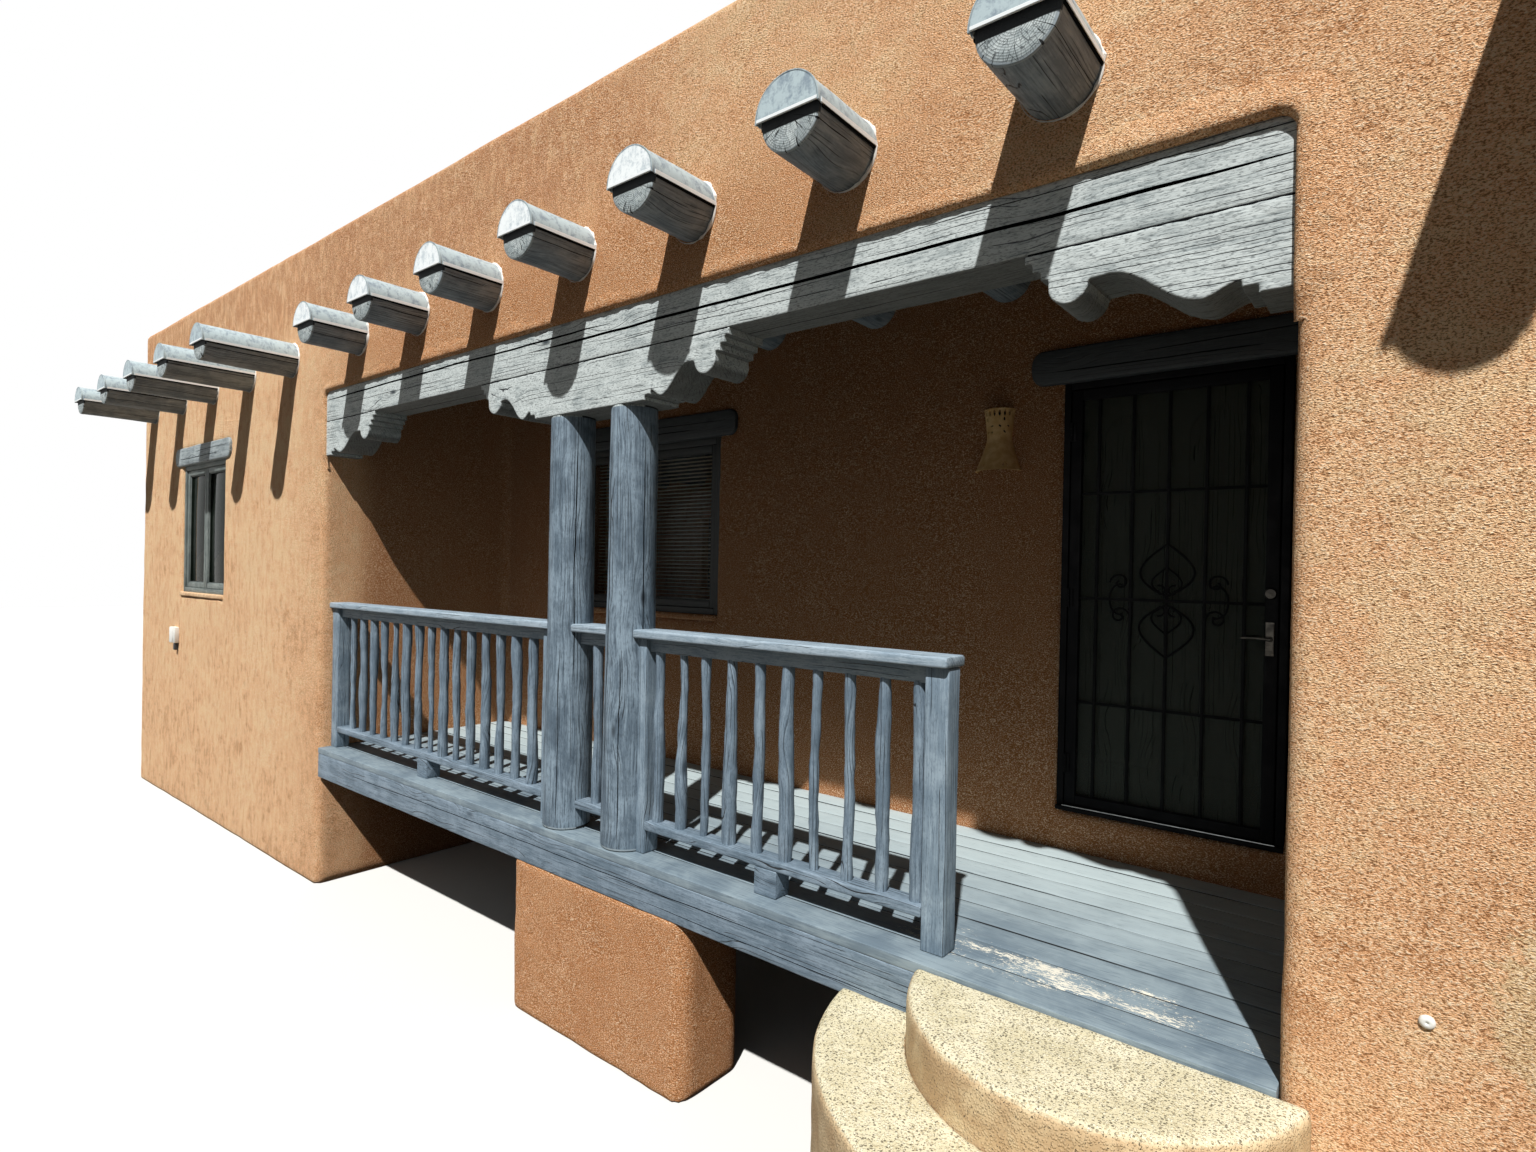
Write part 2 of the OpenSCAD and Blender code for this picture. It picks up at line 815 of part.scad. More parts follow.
// Square end posts, and half posts coped to the logs
module rail_posts() {
  top_z = rail_top_z - cap_rail_t;
  color(timber) in_house() {
    for (x = [-half_porch + rail_post_w / 2, end_post_x])
      translate([x, rail_y, 0])
        block([-rail_post_w / 2, -rail_post_w / 2, deck_z], [rail_post_w / 2, rail_post_w / 2, top_z]);
    difference() {
      for (ends = [[STRETCHES[0][1], left_post_x], [right_post_x, STRETCHES[2][0]]])
        block([ends[0], rail_y - rail_post_w / 2, deck_z], [ends[1], rail_y + rail_post_w / 2, top_z]);
      post_pair();
    }
  }
}

// One peeled sapling: a tube with 7 sides whose centre line wanders and whose girth varies
module sapling(seed) {
  sides = 7;
  rings = 6;
  h = under_rail_z - baluster_z;
  points = [
    for (j = [0 : rings], i = [0 : sides - 1])
      let (
        t = j / rings,
        bend = sin(180 * t),
        cx = baluster_sway * bend * sin(seed * 97 + t * 260),
        cy = baluster_sway * bend * cos(seed * 61 + t * 220),
        r = baluster_r * (0.86 + 0.14 * sin(seed * 151 + t * 140)),
        a = 360 * i / sides
      )
      [cx + r * cos(a), cy + r * sin(a), h * t]
  ];
  walls = [
    for (j = [0 : rings - 1], i = [0 : sides - 1])
      let (a = j * sides + i, b = j * sides + (i + 1) % sides)
      [a, a + sides, b + sides, b]
  ];
  foot = [for (i = [0 : sides - 1]) i];
  top = [for (i = [0 : sides - 1]) rings * sides + sides - 1 - i];
  polyhedron(points, concat([foot], walls, [top]));
}

module balusters() {
  color(timber_dark) in_house()
    for (k = [0 : 2]) {
      s = STRETCHES[k];
      run = s[1] - s[0] - 2 * s[2];
      n = floor(run / baluster_pitch) + 1;
      for (i = [0 : n - 1])
        translate([s[0] + s[2] + i * run / max(1, n - 1), rail_y, baluster_z])
          sapling(31 * k + i);
    }
}

// A solid step with a round front and a softened edge
module round_step(r, z) {
  intersection() {
    translate([steps_x, steps_inset, 0]) rotate_extrude($fn = 96)
      difference() {
        square([r, z]);
        translate([r, z]) corner_waste(nosing_r);
      }
    block([steps_x - r - eps, -r, -eps], [steps_x + r + eps, 0, z + eps]);
  }
}

module upper_step() {
  color(concrete) in_house() round_step(upper_step_r, upper_step_z);
}

module lower_step() {
  color(concrete) in_house() difference() {
    round_step(lower_step_r, lower_step_z);
    translate([steps_x, steps_inset, -eps])
      cylinder(h = lower_step_z + 2 * eps, r = upper_step_r, $fn = 96);
  }
}

module wooden_lintels() {
  color(timber_dark) in_house() {
    for (w = WINDOWS) at_window(w) lintel(w[3], window_h);
    door_lintel();
  }
}

// A rectangular ring in the wall's plane, from depth y0 to y1
module ring(w, h, face, y0, y1) {
  translate([0, y1, h / 2]) rotate([90, 0, 0]) linear_extrude(y1 - y0)
    difference() {
      square([w, h], center = true);
      square([w - 2 * face, h - 2 * face], center = true);
    }
}

module window_frames() {
  color(timber_dark) in_house()
    for (w = WINDOWS) at_window(w) {
      pane_w = (w[3] - 2 * frame_w) / 2;
      ring(w[3], window_h, frame_w, reveal, reveal + frame_d);
      for (s = [-1, 1])
        translate([s * pane_w / 2, 0, frame_w])
          ring(pane_w, window_h - 2 * frame_w, sash_w, sash_y, sash_y + sash_t);
    }
}

module window_glass() {
  color("#9fb4c0", 0.4) in_house()
    for (w = WINDOWS, s = [-1, 1]) at_window(w) {
      pane_w = (w[3] - 2 * frame_w) / 2;
      clear_w = pane_w - 2 * sash_w;
      y0 = sash_y + (sash_t - glass_t) / 2;
      translate([s * pane_w / 2, 0, frame_w + sash_w])
        block([-clear_w / 2, y0, 0], [clear_w / 2, y0 + glass_t, window_h - 2 * frame_w - 2 * sash_w]);
    }
}

module window_sills() {
  color("#d8b48f") in_house()
    for (w = WINDOWS) at_window(w)
      block([-w[3] / 2, -sill_proud, -sill_t], [w[3] / 2, wall_t, 0]);
}

// Head rail, slats and bottom rail of the blind behind the porch window
module window_blind() {
  w = porch_window_w - 2 * frame_w - 2 * blind_gap;
  h = window_h - 2 * frame_w - blind_gap;
  y = reveal + frame_d + slat_w + blind_gap;
  run = h - blind_head_h - blind_foot_h;
  color("#d9d7cf") in_house() at_window(WINDOWS[2]) translate([0, y, frame_w + blind_gap]) {
    block([-w / 2, -slat_w * 0.8, h - blind_head_h], [w / 2, slat_w * 0.8, h]);
    block([-w / 2, -slat_w / 2, 0], [w / 2, slat_w / 2, blind_foot_h]);
    for (i = [1 : slats_n])
      translate([0, 0, blind_foot_h + i * run / (slats_n + 1)])
        rotate([slat_tilt, 0, 0]) block([-w / 2, -slat_w / 2, -slat_t / 2], [w / 2, slat_w / 2, slat_t / 2]);
  }
}

module door_frame() {
  color(bronze) in_house() {
    z1 = door_z + door_h;
    for (s = [-1, 1])
      translate([door_x, 0, 0]) scale([s, 1, 1]) {
        block([door_w / 2 - jamb_w, jamb_y, door_z], [door_w / 2, jamb_y + jamb_d, z1]);
        block([door_w / 2 - jamb_w - stop_w, jamb_y + screen_door_t + leaf_gap, door_z],
              [door_w / 2 - jamb_w + eps, entry_y - leaf_gap, z1]);
      }
    block([door_x - door_w / 2, jamb_y, z1 - jamb_w], [door_x + door_w / 2, jamb_y + jamb_d, z1]);
    block([door_x - door_w / 2, jamb_y + screen_door_t + leaf_gap, z1 - jamb_w - stop_w],
          [door_x + door_w / 2, entry_y - leaf_gap, z1 - jamb_w + eps]);
    block([door_x - door_w / 2, porch_d - threshold_nose, door_z],
          [door_x + door_w / 2, jamb_y + jamb_d, door_z + threshold_h]);
  }
}

// The barrels of a leaf's hinges on the pivot line, each with the lug that holds it
module barrels(y, dir) {
  for (t = [0.1, 0.5, 0.9])
    translate([leaf_x + pivot_in, y, leaf_z + leaf_h * t - barrel_l / 2]) {
      cylinder(h = barrel_l, r = barrel_r);
      block([0, min(0, dir * lug_t), 0], [lug_w, max(0, dir * lug_t), barrel_l]);
    }
}

module screen_door_frame() {
  color(bronze) in_house() {
    translate([leaf_x + leaf_w / 2, 0, leaf_z])
      ring(leaf_w, leaf_h, stile_w, jamb_y, jamb_y + screen_door_t);
    barrels(jamb_y - pivot_out, 1);
  }
}

// Part of a round bar bent in the door's plane, from angle a0 to a1
module bent_bar(r, a0, a1) {
  gap = 360 - a1 + a0;
  difference() {
    circle(r + bar_w / 2);
    circle(r - bar_w / 2);
    if (gap > 0)
      polygon(concat([[0, 0]], [for (i = [0 : 6]) let (a = a1 + gap * i / 6) 2 * r * [cos(a), sin(a)]]));
  }
}

// A C scroll with its back to the right
module c_scroll(r) {
  translate([0, r]) bent_bar(r, 0, 250);
  translate([0, -r]) bent_bar(r, 110, 360);
}

module screen_door_grille() {
  clear_w = leaf_w - 2 * stile_w;
  clear_h = leaf_h - 2 * stile_w;
  pitch = clear_w / (bars_n + 1);
  color(bronze) in_house()
    translate([leaf_x + leaf_w / 2, jamb_y + screen_door_t / 2 + bar_w / 2, leaf_z + leaf_h / 2])
      rotate([90, 0, 0]) linear_extrude(bar_w) {
        for (i = [1 : bars_n])
          translate([-clear_w / 2 + i * pitch, 0]) square([bar_w, clear_h], center = true);
        for (j = [-1 : 1])
          translate([0, j * leaf_h / 4]) square([clear_w, bar_w], center = true);
        for (s = [-1, 1])
          scale([s, 1]) {
            translate([1.45 * pitch, 0]) c_scroll(0.28 * pitch);
            translate([0.36 * pitch, 0.62 * pitch]) bent_bar(0.36 * pitch, -40, 180);
            translate([0.36 * pitch, -0.5 * pitch]) bent_bar(0.3 * pitch, -180, 60);
          }
      }
}

module screen_door_lever() {
  plate_t = 6;
  spindle_r = 9;
  grip_gap = 28;
  grip_t = 12;
  x = leaf_x + leaf_w + leaf_gap - stop_w - lever_clear - lever_plate_w / 2;
  z = door_z + lever_h;
  color("silver") in_house() translate([x, jamb_y, z]) {
    for (side = [0, 1])
      translate([0, side * screen_door_t, 0]) scale([1, side == 1 ? 1 : -1, 1]) {
        block([-lever_plate_w / 2, 0, -lever_plate_h / 2], [lever_plate_w / 2, plate_t, lever_plate_h / 2]);
        rotate([-90, 0, 0]) cylinder(h = grip_gap + grip_t, r = spindle_r);
        block([-lever_l, grip_gap, -spindle_r + 1], [spindle_r - 1, grip_gap + grip_t, spindle_r - 1]);
      }
    translate([0, 0, bolt_rise]) rotate([90, 0, 0]) cylinder(h = 14, r = bolt_r);
  }
}

// The outline of one door panel, with a round head when arched
module panel_shape(w, h, arched) {
  square([w, h - (arched ? w / 2 : 0)]);
  if (arched) translate([w / 2, h - w / 2]) circle(w / 2);
}

// One raised panel: a groove round a field, cut into a face at z = 0
module panel_groove(w, h, arched) {
  linear_extrude(groove_t) difference() {
    panel_shape(w, h, arched);
    translate([groove_w, groove_w]) panel_shape(w - 2 * groove_w, h - 2 * groove_w, arched);
  }
}

module entry_door() {
  knob_neck = 36;
  panel_w = (leaf_w - 3 * panel_rail) / 2;
  high_z = bottom_rail_h + low_panel_h + panel_rail;
  color("#2f3133") in_house() {
    difference() {
      block([leaf_x, entry_y, leaf_z], [leaf_x + leaf_w, entry_y + entry_door_t, leaf_z + leaf_h]);
      for (i = [0, 1])
        translate([leaf_x + panel_rail + i * (panel_w + panel_rail), entry_y + groove_t, leaf_z])
          rotate([90, 0, 0]) {
            translate([0, bottom_rail_h]) panel_groove(panel_w, low_panel_h, false);
            translate([0, high_z]) panel_groove(panel_w, leaf_h - high_z - panel_rail, true);
          }
    }
    barrels(entry_y + entry_door_t + pivot_out, -1);
    for (side = [0, 1])
      translate([leaf_x + leaf_w - panel_rail / 2, entry_y + side * entry_door_t, door_z + knob_h])
        rotate([side == 1 ? -90 : 90, 0, 0]) {
          cylinder(h = knob_neck, r = knob_r / 2);
          translate([0, 0, knob_neck]) sphere(r = knob_r);
        }
  }
}

// The half round clay light on the porch's back wall, open above and below
module wall_light() {
  neck_z = light_h / 2;
  neck_top_z = neck_z + 40;
  top_r = light_neck_r + 18;
  color("#c9a27a") in_house() translate([light_x, porch_d, light_z]) rotate([0, 0, 180])
    rotate_extrude(angle = 180) polygon([
      [light_skirt_r - light_t, 0], [light_skirt_r, 0], [light_neck_r, neck_z], [light_neck_r, neck_top_z],
      [top_r, light_h], [top_r - light_t, light_h], [light_neck_r - light_t, neck_top_z],
      [light_neck_r - light_t, neck_z]
    ]);
}

// Puts its children where each roof spout passes the back wall's face
module spout_places() {
  for (i = [0 : spouts_n - 1])
    translate([(i - (spouts_n - 1) / 2) * spout_pitch, house_d, roof_z + roof_t]) children();
}

module roof_spouts() {
  color(timber) in_house() spout_places() difference() {
    block([-spout_w / 2, -wall_t, 0], [spout_w / 2, spout_reach, spout_h]);
    block([-spout_w / 2 + spout_t, -wall_t - eps, spout_t],
          [spout_w / 2 - spout_t, spout_reach + eps, spout_h + eps]);
  }
}

left_front_wall();
right_front_wall();
porch_head_wall();
left_porch_wall();
right_porch_wall();
porch_back_wall();
door_pier();
door_head_wall();
door_footing();
left_side_wall();
right_side_wall();
back_wall();
house_floor();
ceiling_boards();
roof_deck();
porch_vigas();
left_vigas();
right_vigas();
viga_caps();
porch_beam();
left_bracket();
right_bracket();
post_bracket();
log_posts();
deck_boards();
deck_frame();
porch_pier();
hand_rails();
bottom_rails();
rail_posts();
balusters();
upper_step();
lower_step();
wooden_lintels();
window_frames();
window_glass();
window_sills();
window_blind();
door_frame();
screen_door_frame();
screen_door_grille();
screen_door_lever();
entry_door();
wall_light();
roof_spouts();
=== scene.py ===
# %% [markdown]
# # An adobe house with a log porch
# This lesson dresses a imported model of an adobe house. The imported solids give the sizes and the
# places, and each step below gives one part of the house its true surface: stucco, peeled logs,
# painted boards, sheet metal, concrete, glass and clay. Everything is in metres.

import itertools
import math

import bmesh
import bpy
import numpy as np
from mathutils import Matrix, Vector


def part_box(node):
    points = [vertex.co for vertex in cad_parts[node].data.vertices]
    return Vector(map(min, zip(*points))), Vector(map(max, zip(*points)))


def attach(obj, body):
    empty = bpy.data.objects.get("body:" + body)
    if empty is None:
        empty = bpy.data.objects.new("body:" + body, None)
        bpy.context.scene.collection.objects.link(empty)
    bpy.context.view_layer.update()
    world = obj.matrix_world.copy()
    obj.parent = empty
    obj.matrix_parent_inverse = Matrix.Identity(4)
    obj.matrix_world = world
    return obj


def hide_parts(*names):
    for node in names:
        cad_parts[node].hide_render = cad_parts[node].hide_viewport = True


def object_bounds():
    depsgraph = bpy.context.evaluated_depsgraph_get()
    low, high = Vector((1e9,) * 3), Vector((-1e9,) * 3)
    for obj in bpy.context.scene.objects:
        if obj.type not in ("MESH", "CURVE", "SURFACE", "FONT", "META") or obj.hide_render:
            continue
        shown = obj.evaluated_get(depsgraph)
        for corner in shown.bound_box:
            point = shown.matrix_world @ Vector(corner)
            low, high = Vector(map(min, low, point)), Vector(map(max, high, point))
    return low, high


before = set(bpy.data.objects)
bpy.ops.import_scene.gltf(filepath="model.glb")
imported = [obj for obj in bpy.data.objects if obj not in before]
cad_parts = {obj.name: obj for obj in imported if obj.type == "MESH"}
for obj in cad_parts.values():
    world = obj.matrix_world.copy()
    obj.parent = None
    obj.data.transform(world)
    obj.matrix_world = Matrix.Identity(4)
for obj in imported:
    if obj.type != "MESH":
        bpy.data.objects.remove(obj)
cad_low, cad_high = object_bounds()
print("packed model:", len(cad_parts), "nodes, from", tuple(cad_low), "to", tuple(cad_high))

# %% [markdown]
# ## Reading sizes from the frame
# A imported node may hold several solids, such as ten deck boards. Each solid's own box is all that
# most pieces need, so this helper walks over the joined triangles and gives one box per solid.

# %% The boxes of a node's solids
def solid_boxes(name):
    """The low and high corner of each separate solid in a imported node, from left to right."""
    bm = bmesh.new()
    bm.from_mesh(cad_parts[name].data)
    bmesh.ops.remove_doubles(bm, verts=bm.verts, dist=1e-5)
    unseen, found = set(bm.verts), []
    while unseen:
        stack, island = [unseen.pop()], []
        while stack:
            vert = stack.pop()
            island.append(vert.co[:])
            for edge in vert.link_edges:
                other = edge.other_vert(vert)
                if other in unseen:
                    unseen.remove(other)
                    stack.append(other)
        island = np.array(island)
        found.append((island.min(0), island.max(0)))
    bm.free()
    return sorted(found, key=lambda box: tuple(np.round(box[0], 3)))


def node_box(name):
    low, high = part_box(name)
    return np.array(low), np.array(high)


FACADE = node_box("left_front_wall")[0][1]
BACK = node_box("back_wall")[1][1]
PORCH_L, PORCH_R = node_box("left_front_wall")[1][0], node_box("right_front_wall")[0][0]
PORCH_BACK = node_box("porch_back_wall")[0][1]
WALL_T = node_box("porch_head_wall")[1][1] - FACADE
DECK_Z = node_box("deck_boards")[1][2]
BEAM_LOW, BEAM_HIGH = node_box("porch_beam")
LOG_SETS = ("left_vigas", "porch_vigas", "right_vigas")
print("facade at y", round(FACADE, 3), "porch from", round(PORCH_L, 3), "to", round(PORCH_R, 3))

# %% [markdown]
# ## Meshes in code
# Nearly every timber here is a loft: rings of points, one after the other, joined by faces. A
# small store of parts lets one piece hold many such solids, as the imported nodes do.

# %% Smooth noise in numpy
def lumps(points, cell, seed=0):
    """Smooth noise from -1 to 1 at each point, with lumps about one cell across."""
    place = np.asarray(points, float) / cell + seed * 17.31
    base = np.floor(place)
    t = place - base
    t = t * t * (3 - 2 * t)
    total = np.zeros(place.shape[:-1])
    for corner in itertools.product((0, 1), repeat=3):
        dots = np.sin((base + corner) @ np.array([127.1, 311.7, 74.7])) * 43758.5453
        weight = np.prod(np.where(corner, t, 1 - t), axis=-1)
        total += (2 * (dots - np.floor(dots)) - 1) * weight
    return total


# %% Lofts and grids
def loft(rings, mats=0):
    """A closed solid from rings of points: its walls, and a fan over each end."""
    rings = np.asarray(rings, float)
    n, m = rings.shape[:2]
    verts = np.concatenate([rings.reshape(-1, 3), rings[:1].mean(1), rings[-1:].mean(1)])
    faces = [
        (i * m + k, i * m + (k + 1) % m, (i + 1) * m + (k + 1) % m, (i + 1) * m + k)
        for i in range(n - 1)
        for k in range(m)
    ]
    faces += [(n * m, (k + 1) % m, k) for k in range(m)]
    faces += [(n * m + 1, (n - 1) * m + k, (n - 1) * m + (k + 1) % m) for k in range(m)]
    return {"verts": verts, "faces": faces, "mats": np.full(len(faces), mats)}


def sheet_loft(rings):
    """A loft of bent sheet: each ring runs out along one face and back along the other."""
    part = loft(rings)
    n, m = np.shape(rings)[:2]
    faces = part["faces"][: (n - 1) * m]
    for row, flip in ((0, False), (n - 1, True)):
        for k in range(m // 2 - 1):
            quad = (row * m + k, row * m + k + 1, row * m + m - 2 - k, row * m + m - 1 - k)
            faces.append(quad[::-1] if flip else quad)
    return {"verts": part["verts"][:-2], "faces": faces, "mats": np.zeros(len(faces), int)}


def tube_along(points, radius, sides=8):
    """A round bar that follows a run of points; radius may be one number or one per point."""
    points = np.asarray(points, float)
    radii = np.broadcast_to(radius, len(points))
    ahead = np.gradient(points, axis=0)
    ahead /= np.linalg.norm(ahead, axis=1)[:, None]
    side = np.cross(ahead[0], (0.31, 0.23, 0.92))
    rings = []
    for point, way, r in zip(points, ahead, radii):
        side = side - way * (side @ way)
        side /= np.linalg.norm(side)
        up = np.cross(way, side)
        turn = 2 * np.pi * np.arange(sides)[:, None] / sides
        rings.append(point + r * (np.cos(turn) * side + np.sin(turn) * up))
    return loft(rings)


# %% From parts to a piece
def build(name, parts, materials, sharp=38):
    """One mesh object from a list of parts, with its faces turned outwards."""
    verts = np.concatenate([part["verts"] for part in parts])
    starts = np.cumsum([0] + [len(part["verts"]) for part in parts])
    faces = [
        tuple(int(i + start) for i in face)
        for part, start in zip(parts, starts)
        for face in part["faces"]
    ]
    mesh = bpy.data.meshes.new(name)
    mesh.from_pydata(verts.tolist(), [], faces)
    for material in materials:
        mesh.materials.append(material)
    mats = np.concatenate([part["mats"] for part in parts]).astype(np.int32)
    dark = np.concatenate([part.get("dark", np.zeros(len(part["faces"]), bool)) for part in parts])
    if dark.any():
        mesh.materials.append(CHECK_AND_SHADOW_BLACK)
        mats[dark] = len(materials)
    mesh.polygons.foreach_set("material_index", mats)
    if "section" in parts[0]:
        sections = mesh.attributes.new("section", "FLOAT_VECTOR", "POINT")
        sections.data.foreach_set("vector", np.concatenate([p["section"] for p in parts]).ravel())
    bm = bmesh.new()
    bm.from_mesh(mesh)
    bmesh.ops.recalc_face_normals(bm, faces=bm.faces)
    bm.to_mesh(mesh)
    bm.free()
    mesh.shade_smooth()
    mesh.set_sharp_from_angle(angle=math.radians(sharp))
    piece = bpy.data.objects.new(name, mesh)
    bpy.context.scene.collection.objects.link(piece)
    return piece


def points_of(mesh):
    """A mesh's points and its outward normals."""
    points = np.empty(len(mesh.vertices) * 3, np.float32)
    mesh.vertices.foreach_get("co", points)
    return points.reshape(-1, 3).astype(float), np.array([n.vector for n in mesh.vertex_normals])


def move_points(mesh, points):
    mesh.vertices.foreach_set("co", points.astype(np.float32).ravel())


def settle(piece, slot, *nodes, body="house", sharp=None):
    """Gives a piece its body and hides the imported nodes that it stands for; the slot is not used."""
    if sharp is not None:
        piece.data.shade_smooth()
        piece.data.set_sharp_from_angle(angle=math.radians(sharp))
    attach(piece, body)
    if nodes:
        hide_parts(*nodes)
    piece.data.calc_loop_triangles()
    print(f"{piece.name}: {len(piece.data.loop_triangles)} triangles, for {nodes or 'no node'}")


def furnish(name, parts, materials, slot, *nodes, sharp=30, body="house"):
    """Builds a piece and settles it."""
    settle(build(name, parts, materials, sharp), slot, *nodes, body=body)


# %% [markdown]
# ## Camera, sun and floor
# The camera stands close to the porch with a wide lens, and the sun comes from high on the right.
# One sun lamp gives the long shadows of the log ends, and an even white world fills the shade. Their
# strengths add up so that a colour shows about as written.

# %% Colours and nodes
scene = bpy.context.scene
scene.view_settings.view_transform = "Standard"


def linear(hex_colour):
    """An sRGB colour such as #c98f62 as the linear RGBA that Blender works in."""
    parts = [int(hex_colour[i : i + 2], 16) / 255 for i in (1, 3, 5)]
    return tuple(c / 12.92 if c <= 0.04045 else ((c + 0.055) / 1.055) ** 2.4 for c in parts) + (1.0,)


def add(tree, kind, inputs=None, **settings):
    """Adds a node. An input is a value, a hex colour, a socket or a node, which means its first output."""
    node = tree.nodes.new(kind)
    for key, value in settings.items():
        setattr(node, key, value)
    for key, value in (inputs or {}).items():
        if isinstance(value, bpy.types.Node):
            value = value.outputs[0]
        if isinstance(value, bpy.types.NodeSocket):
            tree.links.new(value, node.inputs[key])
        else:
            node.inputs[key].default_value = linear(value) if isinstance(value, str) else value
    return node


# %% Camera
EYE = Vector((3.1566, -6.0716, 2.2854))
YAW, PITCH, ROLL = 0.6807, -0.0048, 0.0198
ahead_flat = Vector((-math.sin(YAW), math.cos(YAW), 0))
ahead = ahead_flat * math.cos(PITCH) + Vector((0, 0, math.sin(PITCH)))
level = Vector((math.cos(YAW), math.sin(YAW), 0))
upright = Vector((0, 0, math.cos(PITCH))) - ahead_flat * math.sin(PITCH)
right = level * math.cos(ROLL) + upright * math.sin(ROLL)
up = upright * math.cos(ROLL) - level * math.sin(ROLL)

camera_data = bpy.data.cameras.new("camera")
camera_data.lens, camera_data.sensor_width = 18.86, 36.0
camera = bpy.data.objects.new("camera", camera_data)
camera.matrix_world = Matrix((
    (right.x, up.x, -ahead.x, EYE.x),
    (right.y, up.y, -ahead.y, EYE.y),
    (right.z, up.z, -ahead.z, EYE.z),
    (0, 0, 0, 1),
))
scene.collection.objects.link(camera)
scene.camera = camera

# %% Sun and sky
SUN_FROM = Vector((0.224, -0.531, 0.817))
SUN_STRENGTH, SUN_SOFTNESS, SKY_STRENGTH = 5.45, 0.9, 0.155

sun_data = bpy.data.lights.new("sun", "SUN")
sun_data.energy, sun_data.angle = SUN_STRENGTH, math.radians(SUN_SOFTNESS)
sun = bpy.data.objects.new("sun", sun_data)
sun.rotation_mode = "QUATERNION"
sun.rotation_quaternion = SUN_FROM.to_track_quat("Z", "Y")
scene.collection.objects.link(sun)

world = bpy.data.worlds.new("studio")
world.use_nodes = True
scene.world = world
world.node_tree.nodes.clear()


def seen_directly(tree):
    """1 where the camera sees a thing straight, through glass or in a reflection, otherwise 0."""
    path, total = add(tree, "ShaderNodeLightPath").outputs, 0.0
    for kind in ("Is Camera Ray", "Is Transmission Ray", "Is Glossy Ray"):
        total = add(tree, "ShaderNodeMath", {0: path[kind], 1: total}, operation="MAXIMUM")
    return total


fill = add(world.node_tree, "ShaderNodeBackground", {"Color": "#f4f6fa", "Strength": SKY_STRENGTH})
backdrop = add(world.node_tree, "ShaderNodeBackground", {"Color": "#ffffff", "Strength": 1.0})
both = add(world.node_tree, "ShaderNodeMixShader",
           {0: seen_directly(world.node_tree), 1: fill, 2: backdrop})
add(world.node_tree, "ShaderNodeOutputWorld", {"Surface": both})

# %% Floor
FLOOR_SIZE = 90.0
floor_mesh = bpy.data.meshes.new("studio_floor")
half = FLOOR_SIZE / 2
floor_mesh.from_pydata([(-half, -half, -0.002), (half, -half, -0.002), (half, half, -0.002),
                        (-half, half, -0.002)], [], [(0, 1, 2, 3)])
floor_finish = bpy.data.materials.new("studio_paper")
floor_finish.use_nodes = True
paper = floor_finish.node_tree
paper.nodes["Principled BSDF"].inputs["Base Color"].default_value = linear("#d9d7d2")
paper.nodes["Principled BSDF"].inputs["Roughness"].default_value = 0.9
bounce = add(paper, "ShaderNodeBsdfDiffuse", {"Color": "#3f3b36"})
floor_mix = add(paper, "ShaderNodeMixShader", {0: seen_directly(paper), 1: bounce,
                2: paper.nodes["Principled BSDF"]})
paper.links.new(floor_mix.outputs[0], paper.nodes["Material Output"].inputs["Surface"])
floor_mesh.materials.append(floor_finish)
floor = bpy.data.objects.new("studio_floor", floor_mesh)
scene.collection.objects.link(floor)

# %% [markdown]
# ## Finishes
# Each finish starts from what the real one is. Patterns read Object coordinates, which are metres
# in the model's own frame, so a noise of scale 100 has lumps of about 10 mm.

# %% A finish and its parts
def finish(name, roughness=0.6, **constants):
    """A new material, its Principled shader and the place of each point."""
    material = bpy.data.materials.new(name)
    material.use_nodes = True
    tree = material.node_tree
    shader = tree.nodes["Principled BSDF"]
    shader.inputs["Roughness"].default_value = roughness
    for key, value in constants.items():
        socket = shader.inputs[key.replace("_", " ")]
        socket.default_value = linear(value) if isinstance(value, str) else value
    place = add(tree, "ShaderNodeTexCoord").outputs["Object"]
    return material, shader, place


def spots(place, size, detail=3.0, rough=0.55, warp=0.0, along="x", drawn=1.0):
    """Lumps of one size in metres, as values from 0 to 1; grain is lumps drawn out along one axis."""
    tree = place.id_data
    scale = [1 / drawn if axis == along else 1.0 for axis in "xyz"]
    laid = add(tree, "ShaderNodeMapping", {"Vector": place, "Scale": scale})
    return add(tree, "ShaderNodeTexNoise", {"Vector": laid, "Scale": 1 / size, "Detail": detail,
                                            "Roughness": rough, "Distortion": warp}).outputs["Fac"]


def portion(*runs):
    """Where a wash lies. A run is a pattern and the two values between which it comes in, and
    perhaps the two shares it runs between. Runs are multiplied, and a bare socket is taken as it is."""
    whole = None
    for run in runs:
        if isinstance(run, tuple):
            pattern, start, full, *between = run
            least, most = between or (0.0, 1.0)
            run = add(pattern.id_data, "ShaderNodeMapRange",
                      {"Value": pattern, "From Min": start, "From Max": full, "To Min": least,
                       "To Max": most},
                      interpolation_type="SMOOTHSTEP").outputs[0]
        whole = run if whole is None else sums((whole, run))
    return whole


def wash(under, over, *runs):
    """Lays one colour over another, hex values or sockets, where the portion of its runs says."""
    where = portion(*runs)
    return add(where.id_data, "ShaderNodeMix", {0: where, 6: under, 7: over}, data_type="RGBA").outputs[2]


def sums(*terms):
    """Adds up pairs of a socket and its weight, which may be a socket too."""
    total = 0.0
    for socket, weight in terms:
        total = add(socket.id_data, "ShaderNodeMath", {0: socket, 1: weight, 2: total},
                    operation="MULTIPLY_ADD").outputs[0]
    return total


